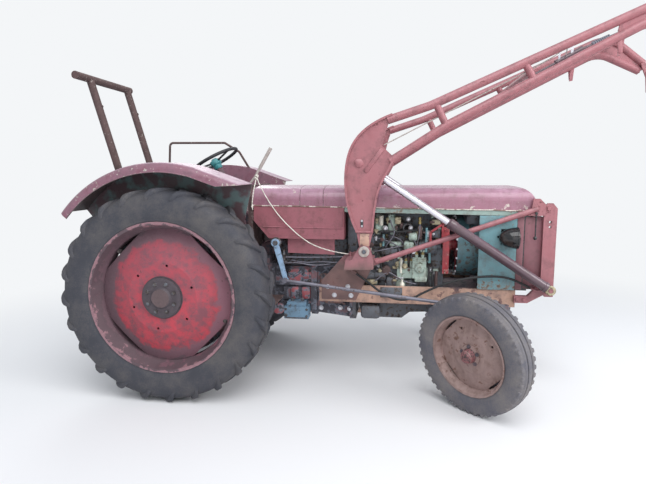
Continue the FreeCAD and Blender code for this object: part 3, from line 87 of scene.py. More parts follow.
# %% Node helpers
def paint_value(code):
    """A hex colour as linear red, green, blue and alpha."""
    parts = [int(code[i:i + 2], 16) / 255 for i in (1, 3, 5)]
    linear = [p / 12.92 if p <= 0.04045 else ((p + 0.055) / 1.055) ** 2.4 for p in parts]
    return (*linear, 1.0)


def feed(made, links):
    """Set inputs of a node from a value, a hex colour, an output, or a node's main output."""
    for socket, value in links.items():
        if isinstance(value, bpy.types.Node):
            value = next(output for output in value.outputs if output.enabled)
        if isinstance(value, bpy.types.NodeSocket):
            made.id_data.links.new(value, made.inputs[socket])
        else:
            made.inputs[socket].default_value = paint_value(value) if isinstance(value, str) else value


def node(tree, kind, links=None, **settings):
    """Add a node of any kind, with its settings and what feeds its inputs."""
    made = tree.nodes.new("ShaderNode" + kind)
    for key, value in settings.items():
        setattr(made, key, value)
    feed(made, links or {})
    return made


def new_finish(name):
    """A new material: itself, a function that adds nodes to it, its shader and its point."""
    material = bpy.data.materials.new(name)
    material.use_nodes = True
    add = partial(node, material.node_tree)
    return material, add, material.node_tree.nodes["Principled BSDF"], add("TexCoord")


# %% [markdown]
# Weathered coat: oil paint brushed or sprayed on steel decades ago. It fades to chalk
# where it faces the sky and is painted lighter there as painted sky light, chips along
# edges down to primer and rust, and holds dust low down.
# A picture could be wrapped on, but noise at the real size of the marks works on every piece
# from every side. Chips are 10 to 60 mm across, so their noise has about that wavelength.

# %% Weathered coat
# clouds of fading, patches of dirt and runs of rain water, millimetres from one to the next
CLOUD_MM, PATCH_MM, RUN_MM = 385, 71.4, 38.5
# a run is about six times as long as it is wide
RUN_STRETCH = 0.16
# wear begins this far from an edge
EDGE_MM = 6


def weathered_coat(name, coat, faded_and_lit_tone, under, rust, chip_mm=24, chips=0.2, fade_and_light=0.5, grime=0.3,
                   grime_colour="#5d5350", rough=0.45, metallic=0.0, streak=0.12, edge_wear=0.14,
                   bump_mm=0.4, extra=None, sky_from=-0.2):
    """Old paint: bleached by the sun and painted lighter on upward faces as a painted highlight, run with
    rust, dirty, chipped to primer and to metal.
    """
    material, add, shader, point = new_finish(name)
    where = point.outputs["Object"]
    broad = add("TexNoise", {"Vector": where, "Scale": 1 / (CLOUD_MM * MM), "Detail": 4.0, "Roughness": 0.6})
    fine = add("TexNoise", {"Vector": where, "Scale": 1 / (chip_mm * MM), "Detail": 6.0, "Roughness": 0.6})
    mottle = add("TexNoise", {"Vector": where, "Scale": 1 / (PATCH_MM * MM), "Detail": 5.0, "Roughness": 0.7})
    drawn = add("Mapping", {"Vector": where, "Scale": (1.0, 1.0, RUN_STRETCH)})
    runs = add("TexNoise", {"Vector": drawn, "Scale": 1 / (RUN_MM * MM), "Detail": 3.0})
    # upward faces are faded by the sun and rain, and are painted lighter as painted sky light
    split = add("SeparateXYZ", {0: point.outputs["Normal"]})
    sky = add("MapRange", {0: split.outputs[2], 1: sky_from, 2: 0.97, 3: 0.0, 4: 1.0})
    faded_and_lit = add("Math", {0: sky, 1: broad}, operation="MULTIPLY")
    faded_and_lit = add("Math", {0: faded_and_lit, 1: 2.2 * fade_and_light}, operation="MULTIPLY")
    patch = add("MapRange", {0: mottle, 1: 0.3, 2: 0.7, 3: 0.2, 4: 0.8})
    faded_and_lit = add("Math", {0: patch, 1: fade_and_light * 0.9, 2: faded_and_lit}, operation="MULTIPLY_ADD", use_clamp=True)
    # the faded tone also serves as the painted sky light of upward faces
    colour = add("Mix", {0: faded_and_lit, 6: coat, 7: faded_and_lit_tone}, data_type="RGBA")
    run_mask = add("MapRange", {0: runs, 1: 0.45, 2: 0.75, 3: 0.0, 4: streak})
    dirt = add("MapRange", {0: mottle, 1: 0.48, 2: 0.70, 3: 0.0, 4: 0.6})
    # the rounded normal leaves the true one only near an edge
    soft = add("Bevel", {0: EDGE_MM * MM}, samples=4)
    hard = add("NewGeometry")
    near = add("VectorMath", {0: soft, 1: hard.outputs[1]}, operation="DOT_PRODUCT")
    edge = add("MapRange", {0: near, 1: 0.995, 2: 0.8, 3: 0.0, 4: edge_wear})
    worn = add("Math", {0: fine, 1: edge}, operation="ADD")
    worn = add("Math", {0: broad, 1: 0.5, 2: worn}, operation="MULTIPLY_ADD")
    if extra:
        worn = add("Math", {0: worn, 1: extra(add, where)}, operation="ADD")
    # primer shows first, and bare rusty metal where the wear is deeper
    limit = 1.12 - chips
    primer = add("MapRange", {0: worn, 1: limit, 2: limit + 0.04, 3: 0.0, 4: 0.9})
    bare = add("MapRange", {0: worn, 1: limit + 0.07, 2: limit + 0.12, 3: 0.0, 4: 0.9})
    height = add("SeparateXYZ", {0: where})
    low = add("MapRange", {0: height.outputs[2], 1: 1.1, 2: 0.2, 3: 0.0, 4: grime})
    low = add("Math", {0: low, 1: runs}, operation="MULTIPLY")
    low = add("Math", {0: low, 1: 1.8}, operation="MULTIPLY", use_clamp=True)
    # each mark lies over those before it
    for mask, tone in ((run_mask, rust), (dirt, rust), (primer, under), (bare, rust), (low, grime_colour)):
        colour = add("Mix", {0: mask, 6: colour, 7: tone}, data_type="RGBA")
    dull = add("MapRange", {0: primer, 1: 0.0, 2: 1.0, 3: rough, 4: 0.85})
    dull = add("Math", {0: mottle, 1: 0.25, 2: dull}, operation="MULTIPLY_ADD", use_clamp=True)
    depth = add("Math", {0: primer, 1: -0.6, 2: fine}, operation="MULTIPLY_ADD")
    relief = add("Bump", {"Height": depth, "Strength": 0.4, "Distance": bump_mm * MM})
    feed(shader, {"Base Color": colour, "Roughness": dull, "Metallic": metallic, "Normal": relief})
    return material


# %% [markdown]
# Some paints wear in one place more than elsewhere: the bonnet along its lower edge, the
# side panels at the foot. Each such place is a small function that adds to the wear there.

# %% Places of more wear
def chipped_edge(add, where):
    """More wear along the bonnet's lower edge, where hands and straps have rubbed it."""
    split = add("SeparateXYZ", {0: where})
    # the band's line rises forwards while the edge falls, so it is broadest at the nose
    level = add("Math", {0: split.outputs[0], 1: 0.0128, 2: 1.3108}, operation="MULTIPLY_ADD")
    above = add("Math", {0: split.outputs[2], 1: level}, operation="SUBTRACT")
    rim = add("MapRange", {0: above, 1: 0.030, 2: 0.0, 3: 0.0, 4: 0.13})
    along = add("MapRange", {0: split.outputs[0], 1: -0.50, 2: -0.35, 3: 0.0, 4: 1.0})
    wear = add("Math", {0: rim, 1: along}, operation="MULTIPLY")
    return wear


def rusty_foot(add, where):
    """More rust at the foot of the side panels, where wet earth lies."""
    split = add("SeparateXYZ", {0: where})
    foot = add("MapRange", {0: split.outputs[2], 1: 0.88, 2: 0.74, 3: 0.0, 4: 0.22})
    return foot


# %% [markdown]
# Each paint of the machine is the weathered coat in its own tones: fresh, faded, what lies
# under it, and rust. They could share one material with a colour input, but each has worn
# in its own way, so each is a material of its own.

# %% Paints of panels and loader
# Faded red enamel on sheet steel: chalky mauve on top, partly painted sky light, rose on the sides, pale
# primer chips
body_enamel = weathered_coat("faded_and_sky_lit_red_enamel", "#844c5a", "#b58fa3", "#cfc4bb", "#6a4345", chip_mm=36,
                             chips=0.165, fade_and_light=0.6, rough=0.14, streak=0.26, extra=chipped_edge)
# The same enamel on the nose, in the shade of the loader's frame
nose_enamel = weathered_coat("nose_red_enamel", "#774850", "#956870", "#6f5353", "#573838", chip_mm=30,
                             rough=0.38)
# The same enamel on the tank, which stands upright and has kept more of its red
tank_enamel = weathered_coat("rose_tank_enamel", "#8f4e58", "#ad737d", "#8d6664", "#5c3a3a", chip_mm=30,
                             chips=0.16, fade_and_light=0.55, rough=0.38, streak=0.16)
# Brushed red oxide paint on the loader's steel: dull rose, a little rust at welds and edges
loader_paint = weathered_coat("brushed_rose_paint", "#8f5258", "#b37f86", "#73464a", "#523233", chip_mm=26,
                              fade_and_light=0.52, rough=0.3, grime=0.1, edge_wear=0.1)
# Teal enamel of the side panels: blue-green, chalked, with rust-brown dots
teal_enamel = weathered_coat("teal_enamel", "#5f8d95", "#8db4bd", "#867a70", "#634c42", chip_mm=26,
                             chips=0.22, rough=0.4, edge_wear=0.1, extra=rusty_foot)
# The same teal on the fan's shroud, darker and rustier
shroud_teal = weathered_coat("darker_teal_enamel", "#4b737c", "#709aa3", "#5a5450", "#4f4039", chip_mm=34,
                             chips=0.34, rough=0.34, streak=0.3)

# %% Paints and metals of wheels and castings
# Front disc: paint gone to pink-brown rust
wheel_rust = weathered_coat("rusted_wheel_paint", "#8f7672", "#b39b96", "#7b5c52", "#664a40", chip_mm=46,
                            chips=0.26, fade_and_light=0.55, rough=0.6, grime=0.15, streak=0.3)
# Rear axle and front beam: grey iron with old red paint under dusty oil; its darkest patches are partly
# painted shadow
casting = weathered_coat("painted_iron_casting", "#6a4e55", "#7f6a71", "#535863", "#40383b", chip_mm=38,
                         chips=0.34, fade_and_light=0.45, rough=0.5, grime=0.5, grime_colour="#504b50", streak=0.4,
                         bump_mm=1.2)
# Gearbox: the red has worn to patches between blue-grey iron, partly painted highlight, and near-black
# patches of painted shadow
gear_casting = weathered_coat("patched_gear_casting", "#875359", "#957a80", "#747e8c", "#403e45", chip_mm=60,
                              chips=0.46, grime=0.45, grime_colour="#544e52", streak=0.35, bump_mm=1.5)
# Engine: iron block dark with oil, blue-grey where it is wiped
engine_iron = weathered_coat("oily_engine_iron", "#474b54", "#7d838c", "#574d48", "#2c292b", chip_mm=30,
                             chips=0.36, rough=0.38, grime=0.25, bump_mm=1.2)
# Pump and filters: pale green hammer paint
pale_green = weathered_coat("pale_green_paint", "#93a79d", "#c8d8cd", "#7c7a6c", "#5a5046", chip_mm=18,
                            chips=0.26, rough=0.4)
# Grey-green enamel of the rail under the bonnet
rail_green = weathered_coat("grey_green_enamel", "#7f958f", "#a9bbb3", "#8a7c70", "#5c4c45", chips=0.24,
                            rough=0.4)
# Rusted section steel: rails, orange-pink rust over dark scale
rusted_steel = weathered_coat("rusted_section_steel", "#b8917f", "#cfb09f", "#7a5f5c", "#574a50", chip_mm=60,
                              chips=0.30, rough=0.7, grime=0.1, streak=0.3, bump_mm=0.8)
# Bare drawn steel rod: grey-violet with thin brown rust
rod_steel = weathered_coat("drawn_steel_rod", "#6c6b77", "#8b8a96", "#6b5a55", "#4a4246", chip_mm=20,
                           chips=0.26, rough=0.4, metallic=0.35, grime=0.1)
# Roll bar: brown rust with remains of white paint
bar_rust = weathered_coat("rusted_roll_bar", "#503c3c", "#6b5654", "#a9a09a", "#362a2a", chip_mm=22,
                          chips=0.22, rough=0.65, grime=0.1, streak=0.35)
# Light blue rod paint
rod_blue = weathered_coat("light_blue_paint", "#86a6c6", "#b3cde6", "#5b5f6a", "#3d4250", chips=0.22,
                          rough=0.4, grime=0.1)
# Teal paint of the valve block, half under oil
valve_teal = weathered_coat("oily_teal_paint", "#5f8099", "#86aac4", "#5b5f66", "#3c4046", chip_mm=30,
                            chips=0.32, rough=0.35, grime=0.15)

# %% Black and small finishes
# Black stove enamel: grille, radiator and lamps
black_enamel = weathered_coat("black_stove_enamel", "#1f2124", "#3b3e44", "#4b3e38", "#4b3e38", chip_mm=14,
                              chips=0.12, fade_and_light=0.3, rough=0.16, grime=0.1, streak=0.05)
# The lamp bowls are the same enamel, wiped clean and still glossy
lamp_enamel = weathered_coat("glossy_black_enamel", "#131417", "#26282d", "#4b3e38", "#4b3e38", chip_mm=14,
                             chips=0.06, fade_and_light=0.25, rough=0.0, grime=0.05, streak=0.02, bump_mm=0.1)
# Moulded black plastic of wheel rim and seat
black_plastic = weathered_coat("moulded_black_plastic", "#202024", "#3a3a41", "#2a2a2c", "#222224",
                               chip_mm=10, chips=0.1, fade_and_light=0.4, rough=0.42, grime=0.1, streak=0.05,
                               edge_wear=0.05)
# Cylinder barrels: drawn steel tube under plum paint, rubbed dark
barrel_paint = weathered_coat("plum_cylinder_paint", "#4b383f", "#75606b", "#413740", "#4a3a37", chip_mm=26,
                              chips=0.24, rough=0.1, grime=0.1)
# Turquoise enamel of the steering wheel's hub
turquoise = weathered_coat("turquoise_enamel", "#3a8c92", "#5fa9ad", "#4c6a6a", "#4c4a44", chip_mm=16,
                           chips=0.16, fade_and_light=0.4, rough=0.3, grime=0.05)
# Bright plated steel of bolts and clips
plated_steel = weathered_coat("plated_bolt_steel", "#bfc0c8", "#e3e4ea", "#8d8684", "#6a5a52", chip_mm=10,
                              chips=0.14, rough=0.3, metallic=0.6, grime=0.05)
# Signal red that is still bright on sheltered parts
bright_red = weathered_coat("sheltered_red_enamel", "#a8343c", "#bf5d66", "#c7b8ae", "#5b3b3a", chip_mm=30,
                            chips=0.24, fade_and_light=0.35, rough=0.36, grime=0.05)
# Brass of unions and cocks, dulled
dull_brass = weathered_coat("dulled_brass", "#8f7c4e", "#b8a878", "#6b5d44", "#4a4034", chip_mm=12,
                            rough=0.35, metallic=0.7, grime=0.05)
# White stove enamel of pots and tubes, a little yellowed
white_enamel = weathered_coat("yellowed_white_enamel", "#d9d6c8", "#eceade", "#8f8576", "#5f5148", chip_mm=12,
                              chips=0.14, rough=0.3, grime=0.05)
# Cream paint of small castings, rusty at the edges
cream_paint = weathered_coat("cream_casting_paint", "#a79b7d", "#c9c0a4", "#6f5f4c", "#51423a", chip_mm=14,
                             chips=0.3, grime=0.1)
# Red enamel under old oil on the gearbox covers; its blue-grey patches are partly painted highlight
oily_red = weathered_coat("oil_stained_red_enamel", "#a5484f", "#ad757c", "#72808e", "#3b393f", chip_mm=44,
                          chips=0.4, fade_and_light=0.4, rough=0.35, grime=0.2, streak=0.3, bump_mm=1.0)
# Rust-brown paint of the clutch cover
brown_cover = weathered_coat("rust_brown_cover_paint", "#7d5349", "#94706a", "#5b606a", "#3b3739", chip_mm=50,
                             chips=0.36, fade_and_light=0.4, rough=0.4, grime=0.25, streak=0.3, bump_mm=1.0)
# Lever paint bleached to bone
bone_paint = weathered_coat("bleached_lever_paint", "#a49a95", "#c6beb9", "#75695f", "#54483f", chip_mm=16,
                            chips=0.24, rough=0.5, grime=0.05)
# Greasy red of the front hub caps
greasy_red = weathered_coat("greasy_hub_enamel", "#8c4449", "#a8767a", "#5b4a4c", "#3a3032", chip_mm=14,
                            chips=0.34, fade_and_light=0.4, rough=0.3, bump_mm=0.8)
# Primer and bare metal along the bonnet's rolled edge
primer_edge = weathered_coat("chipped_primer_edge", "#9b7b7c", "#cfc6bd", "#dcd5cb", "#7a5a52", chip_mm=60,
                             chips=0.46, fade_and_light=0.7, rough=0.6, grime=0.0)
print("coats", len(bpy.data.materials))

# %% [markdown]
# The rear disc is pressed steel, red once. Mud has scoured it in rings: a rusty middle, the
# dark hub flange, a band that is still red and brightest low down, and a dirty outer part.
# The rings could be drawn by hand, but they follow the distance from the axle exactly, so
# that distance chooses the colour and noise breaks its borders.

# %% Rear wheel enamel
# clouds, scuffs and grain on the disc, millimetres from one to the next
DISC_CLOUD_MM, DISC_SCUFF_MM, DISC_GRAIN_MM = 111, 45.5, 22.2
# where each ring begins and where it is full, metres from the axle
RINGS = (("hub", 0.058, 0.066), ("red", 0.144, 0.148), ("outer", 0.362, 0.388), ("rim", 0.458, 0.466),
         ("lip", 0.498, 0.502))
HUB_RADIUS = 0.15


def wheel_coat():
    """Rings of two tones each, chosen by the distance from the rear axle."""
    material, add, shader, point = new_finish("ringed_wheel_enamel")
    where = point.outputs["Object"]
    split = add("SeparateXYZ", {0: where})
    flat = add("CombineXYZ", {0: split.outputs[0], 2: split.outputs[2]})
    out = add("VectorMath", {0: flat, 1: (REAR_AXLE_X, 0.0, AXLE_HEIGHT)}, operation="DISTANCE")
    broad = add("TexNoise", {"Vector": where, "Scale": 1 / (DISC_CLOUD_MM * MM), "Detail": 6.0,
                             "Roughness": 0.65})
    scuff = add("TexNoise", {"Vector": where, "Scale": 1 / (DISC_SCUFF_MM * MM), "Detail": 8.0,
                             "Roughness": 0.75})
    fine = add("TexNoise", {"Vector": where, "Scale": 1 / (DISC_GRAIN_MM * MM), "Detail": 5.0,
                            "Roughness": 0.7})
    tones = {}
    for ring, noise, dark, light in (("middle", fine, "#43383a", "#6d5a5c"),
                                     ("hub", fine, "#2e2a2f", "#584d54"),
                                     ("outer", fine, "#4f3e46", "#775c64"),
                                     ("rim", broad, "#40343a", "#6f5a61"),
                                     ("lip", fine, "#6d4f57", "#a98289")):
        tones[ring] = add("Mix", {0: noise, 6: dark, 7: light}, data_type="RGBA")
    # the red band is dusty in spots, and brightest low down
    dust = add("Math", {0: broad, 1: scuff}, operation="ADD")
    dust = add("MapRange", {0: dust, 1: 0.86, 2: 1.14, 3: 0.0, 4: 0.85})
    red = add("Mix", {0: dust, 6: "#b53c49", 7: "#6a464f"}, data_type="RGBA")
    low = add("MapRange", {0: split.outputs[2], 1: 1.15, 2: 0.5, 3: 0.5, 4: 1.0})
    tones["red"] = add("Mix", {0: low, 6: "#82525e", 7: red}, data_type="RGBA")
    # the outer part is painted lighter towards the front, a painted highlight of the light from the front
    lit_from_front = add("MapRange", {0: split.outputs[0], 1: -1.55, 2: -0.95, 3: 0.0, 4: 0.7})
    tones["outer"] = add("Mix", {0: lit_from_front, 6: tones["outer"], 7: "#8d5b69"}, data_type="RGBA")
    broken = add("Math", {0: broad, 1: 0.17, 2: out}, operation="MULTIPLY_ADD")
    broken = add("Math", {0: broken, 1: 0.085}, operation="SUBTRACT")
    colour = tones["middle"]
    for ring, start, full in RINGS:
        # the hub's own borders are steps in the metal, so only the outer ones are broken by noise
        measure = out if full < HUB_RADIUS else broken
        step = add("MapRange", {0: measure, 1: start, 2: full, 3: 0.0, 4: 1.0})
        colour = add("Mix", {0: step, 6: colour, 7: tones[ring]}, data_type="RGBA")
    spots = add("MapRange", {0: fine, 1: 0.62, 2: 0.68, 3: 0.0, 4: 0.7})
    colour = add("Mix", {0: spots, 6: colour, 7: "#4c3a3d"}, data_type="RGBA")
    dull = add("MapRange", {0: broad, 1: 0.3, 2: 0.7, 3: 0.45, 4: 0.8})
    relief = add("Bump", {"Height": fine, "Strength": 0.35, "Distance": 0.8 * MM})
    feed(shader, {"Base Color": colour, "Roughness": dull, "Normal": relief})
    return material


# Wheel enamel: rings of rust, oil, red and dirt round the axle
wheel_enamel = wheel_coat()
print("rings", len(RINGS))

# %% [markdown]
# The mudguards are enamelled outside, pale on top, partly faded and partly painted sky light,
# and inside they are darker. Faces that look towards the axle take the dark colour.

# %% Mudguard finish
# clouds of the darker inside tone, millimetres from one to the next
INNER_CLOUD_MM = 83.3


def painted_over(material):
    """Of a finish: a function that adds nodes, its shader, its point and its present colour."""
    tree = material.node_tree
    shader = tree.nodes["Principled BSDF"]
    painted = shader.inputs["Base Color"].links[0].from_socket
    return partial(node, tree), shader, tree.nodes["Texture Coordinate"], painted


def rubbed_rim(add, where):
    """More chips towards the outer edge, where boots and branches rub."""
    split = add("SeparateXYZ", {0: where})
    out = add("Math", {0: split.outputs[1]}, operation="ABSOLUTE")
    rim = add("MapRange", {0: out, 1: 0.80, 2: 0.87, 3: 0.0, 4: 0.075})
    return rim


def guard_finish():
    """Chalky enamel outside with a painted highlight on top, darker inside, and a patched wall behind the
    tyre.
    """
    # only faces near level take the pale tone, partly fading and partly painted sky light
    material = weathered_coat("mudguard_enamel", "#73424f", "#b798aa", "#c2bdb3", "#4c3438", chip_mm=20,
                              chips=0.22, fade_and_light=0.6, rough=0.3, sky_from=0.7, extra=rubbed_rim)
    add, shader, point, painted = painted_over(material)
    arm = add("VectorMath", {0: point.outputs["Object"], 1: (REAR_AXLE_X, 0.0, AXLE_HEIGHT)},
              operation="SUBTRACT")
    arm = add("VectorMath", {0: arm, 1: (1.0, 0.0, 1.0)}, operation="MULTIPLY")
    inward = add("VectorMath", {0: arm, 1: point.outputs["Normal"]}, operation="DOT_PRODUCT")
    under = add("MapRange", {0: inward, 1: -0.05, 2: -0.2, 3: 0.0, 4: 1.0})
    # a cloud of noise varies the darker inside tone and places the wall's patches
    inner_cloud = add("TexNoise", {"Vector": point.outputs["Object"], "Scale": 1 / (INNER_CLOUD_MM * MM), "Detail": 6.0})
    dark = add("Mix", {0: inner_cloud, 6: "#3d3438", 7: "#6b5d5c"}, data_type="RGBA")
    # a wall that looks away from the seat has a normal with the same sign as its own side
    turned = add("SeparateXYZ", {0: point.outputs["Normal"]})
    spot = add("SeparateXYZ", {0: point.outputs["Object"]})
    away = add("Math", {0: turned.outputs[1], 1: spot.outputs[1]}, operation="MULTIPLY")
    upright = add("MapRange", {0: away, 1: 0.45, 2: 0.52, 3: 0.0, 4: 1.0})
    out = add("Math", {0: spot.outputs[1]}, operation="ABSOLUTE")
    inner = add("MapRange", {0: out, 1: 0.60, 2: 0.57, 3: 0.0, 4: 1.0})
    wall = add("Math", {0: upright, 1: inner}, operation="MULTIPLY")
    # that wall, behind the tyre, has kept teal and brown patches
    patch = add("MapRange", {0: inner_cloud, 1: 0.45, 2: 0.6, 3: 0.0, 4: 1.0})
    patched = add("Mix", {0: patch, 6: "#564247", 7: "#5d6f70"}, data_type="RGBA")
    colour = add("Mix", {0: wall, 6: painted, 7: patched}, data_type="RGBA")
    colour = add("Mix", {0: under, 6: colour, 7: dark}, data_type="RGBA")
    feed(shader, {"Base Color": colour})
    return material


# Mudguard enamel: lilac-white chalk and painted sky light on top, darker below
guard_enamel = guard_finish()

# %% [markdown]
# The boom's bearing plates are rose at the top and go over to oily brown at the foot,
# where they lie against the gearbox. Height alone decides, broken by noise.

# %% Bearing plate finish
# clouds of oil at the plates' foot, millimetres from one to the next
OIL_MM = 100


def bracket_finish():
    """Rose paint that gives way to brown oil below."""
    material = weathered_coat("bearing_plate_paint", "#88545a", "#a97b81", "#704648", "#4f3635", chip_mm=30,
                              chips=0.22, rough=0.5, grime=0.1)
    add, shader, point, painted = painted_over(material)
    cloud = add("TexNoise", {"Vector": point.outputs["Object"], "Scale": 1 / (OIL_MM * MM), "Detail": 6.0})
    split = add("SeparateXYZ", {0: point.outputs["Object"]})
    level = add("Math", {0: cloud, 1: 0.14, 2: split.outputs[2]}, operation="MULTIPLY_ADD")
    foot = add("MapRange", {0: level, 1: 1.03, 2: 0.95, 3: 0.0, 4: 1.0})
    stained = add("Mix", {0: cloud, 6: "#463b3c", 7: "#8a6763"}, data_type="RGBA")
    colour = add("Mix", {0: foot, 6: painted, 7: stained}, data_type="RGBA")
    feed(shader, {"Base Color": colour})
    return material


# Bearing plate paint: rose above, brown oil below
bracket_paint = bracket_finish()

# %% [markdown]
# Tyre rubber is carbon-black rubber, moulded, sun-bleached to grey and dusted with dry
# mud, most of it between the lugs and low on the walls.

# %% Rubber
# patches of bleaching, and the skin's grain drawn coarse enough to show, in millimetres
BLEACH_MM, GRAIN_MM = 200, 8.33


def moulded_rubber(name, dark, light, dust, amount):
    """Black rubber, bleached in patches, with dust in its grain."""
    material, add, shader, point = new_finish(name)
    where = point.outputs["Object"]
    broad = add("TexNoise", {"Vector": where, "Scale": 1 / (BLEACH_MM * MM), "Detail": 5.0,
                             "Roughness": 0.65})
    grain = add("TexNoise", {"Vector": where, "Scale": 1 / (GRAIN_MM * MM), "Detail": 4.0})
    colour = add("Mix", {0: broad, 6: dark, 7: light}, data_type="RGBA")
    dusty = add("Math", {0: grain, 1: 0.45, 2: broad}, operation="MULTIPLY_ADD")
    dusty = add("MapRange", {0: dusty, 1: 0.62, 2: 0.95, 3: 0.0, 4: amount})
    colour = add("Mix", {0: dusty, 6: colour, 7: dust}, data_type="RGBA")
    relief = add("Bump", {"Height": grain, "Strength": 0.25, "Distance": 0.4 * MM})
    feed(shader, {"Base Color": colour, "Roughness": 0.75, "Normal": relief})
    return material


# Rear tyres: dark grey rubber
rear_rubber = moulded_rubber("weathered_tyre_rubber", "#2f3037", "#494a53", "#66605a", 0.5)
# Front tyres: bleached lighter, under road dust
front_rubber = moulded_rubber("dusty_tyre_rubber", "#494a53", "#6b6971", "#8a8178", 0.5)
# Hoses: newer and nearly black
hose_rubber = moulded_rubber("hydraulic_hose_rubber", "#17181b", "#2c2e33", "#55504a", 0.25)

# %% [markdown]
# The piston rods are hard chrome plate on ground steel: bright, with fine rings of wear.
# A full metal with a low roughness shows the room in it.

# %% Chrome
# rings of wear along the rods, millimetres from one to the next
WEAR_RING_MM = 25
chrome, add, shader, point = new_finish("hard_chrome_plate")
rings = add("TexNoise", {"Vector": point.outputs["Object"], "Scale": 1 / (WEAR_RING_MM * MM), "Detail": 4.0})
tone = add("Mix", {0: rings, 6: "#c0bdc6", 7: "#e2dfe6"}, data_type="RGBA")
gleam = add("MapRange", {0: rings, 1: 0.3, 2: 0.7, 3: 0.2, 4: 0.38})
feed(shader, {"Base Color": tone, "Roughness": gleam, "Metallic": 1.0})

# %% [markdown]
# The trip rope is laid polypropylene, bleached to cream. Its strands are too fine for the
# render, so a wave across it at three to four times their width gives the laid look. A
# diagonal wave of scale 1 has a band every 2 pi / (10 root 3) metres.

# %% Rope
# the real strands are 4 mm apart
STRAND_MM = 13.95
rope_fibre, add, shader, point = new_finish("laid_cream_rope")
strand_scale = 2 * math.pi / (10 * math.sqrt(3) * STRAND_MM * MM)
strands = add("TexWave", {"Vector": point.outputs["Object"], "Scale": strand_scale, "Distortion": 1.5},
              wave_type="BANDS", bands_direction="DIAGONAL")
tone = add("Mix", {0: strands.outputs["Fac"], 6: "#c9c3b8", 7: "#ebe7df"}, data_type="RGBA")
relief = add("Bump", {"Height": strands.outputs["Fac"], "Strength": 0.5, "Distance": 1.0 * MM})
feed(shader, {"Base Color": tone, "Roughness": 0.85, "Normal": relief})

# %% [markdown]
# The lamp's glass is pressed glass over a silvered bowl. Clear glass would show an empty
# bowl, so the lens is a pale, glossy, partly clear pane. Its flutes are a wave along one
# axis, which at scale 1 has a band every 2 pi / 20 metres.

# %% Lamp glass
FLUTE_MM = 7.85
lamp_glass, add, shader, point = new_finish("pressed_lamp_glass")
flute_scale = 2 * math.pi / (20 * FLUTE_MM * MM)
flutes = add("TexWave", {"Vector": point.outputs["Object"], "Scale": flute_scale}, wave_type="BANDS",
             bands_direction="Y")
relief = add("Bump", {"Height": flutes.outputs["Fac"], "Strength": 0.4, "Distance": 1.0 * MM})
feed(shader, {"Base Color": "#c6ccd0", "Roughness": 0.08, "Transmission Weight": 0.35, "Normal": relief})
print("materials", len(bpy.data.materials))

# %% [markdown]
# Every CAD node keeps its shape and gets a finish. A table from the start of a node's
# name to its finish is the shortest way to see that none is forgotten.

# %% Finishes of the CAD nodes
FINISHES = {
    "rear_tyre": rear_rubber, "front_tyre": front_rubber, "rear_wheel": wheel_enamel,
    "front_wheel": wheel_rust, "rear_axle": casting, "knuckle": casting, "tie_rod": rod_steel,
    "front_axle": casting, "gearbox": gear_casting, "side_valve": valve_teal, "clutch": gear_casting,
    "engine_block": engine_iron, "cylinder_head": engine_iron, "intake": engine_iron,
    "engine_sump": engine_iron, "injection": pale_green, "engine_filters": pale_green,
    "exhaust": rusted_steel, "radiator": black_enamel, "fan_shroud": shroud_teal, "fan": bright_red,
    "bonnet": body_enamel, "bonnet_rails": rail_green, "fuel_tank": tank_enamel, "cowl": teal_enamel,
    "grille": black_enamel, "headlamps": black_enamel, "dash": bar_rust, "hand_lever": bone_paint,
    "steering_column": casting, "steering_wheel": black_plastic, "drop_arm": rod_blue, "drag_link": rod_steel,
    "mudguard": guard_enamel, "footplates": bar_rust, "driver_seat": black_plastic, "roll_bar": bar_rust,
    "grab_rail": bar_rust, "drawbar": rusted_steel, "frame_rails": rusted_steel, "front_support": casting,
    "loader_brackets": bracket_paint, "loader": loader_paint, "boom": loader_paint, "latch_rod": barrel_paint,
    "tool_carrier": loader_paint, "lift_barrel": barrel_paint, "lift_rod": chrome, "lift_hose": hose_rubber,
    "trip_rope": rope_fibre, "rope_tail": rope_fibre,
}
finished = 0
for name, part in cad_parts.items():
    keys = [key for key in FINISHES if name.startswith(key)]
    if keys:
        part.data.materials.clear()
        part.data.materials.append(FINISHES[max(keys, key=len)])
        finished += 1
print("finishes on", finished, "of", len(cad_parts), "nodes")

# %% [markdown]
# Three soft lines hang on the right-hand side: the loader's hose, the trip rope and the
# rope's loose end. Each could be a bent cylinder, but a hose or rope never has a corner, so each
# is a NURBS curve with a round bevel, pulled towards the same points as the real line's route.

# %% Cords
HOSE_ROUTE = [(1263, -327, 829), (1322, -329, 791), (1381, -331, 744), (1447, -333, 694), (1518, -334, 656),
              (1597, -335, 641), (1672, -336, 657), (1740, -337, 697), (1803, -338, 730), (1870, -339, 763),
              (1958, -340, 795), (2060, -341, 820), (2165, -342, 835), (2265, -343, 838), (2345, -344, 826),
              (2415, -345, 797), (2484, -345, 761)]
ROPE_ROUTE = [(520, -305, 1536), (532, -313, 1497), (556, -323, 1456), (580, -327, 1412), (612, -327, 1357),
              (650, -327, 1301), (691, -327, 1248), (735, -327, 1199), (789, -327, 1147), (849, -327, 1096),
              (916, -328, 1050), (988, -329, 1019), (1066, -330, 997), (1141, -331, 982), (1205, -332, 974)]
ROPE_TAIL = [(512, -300, 1520), (508, -314, 1485), (502, -325, 1445), (495, -327, 1402), (488, -327, 1358),
             (486, -327, 1319)]


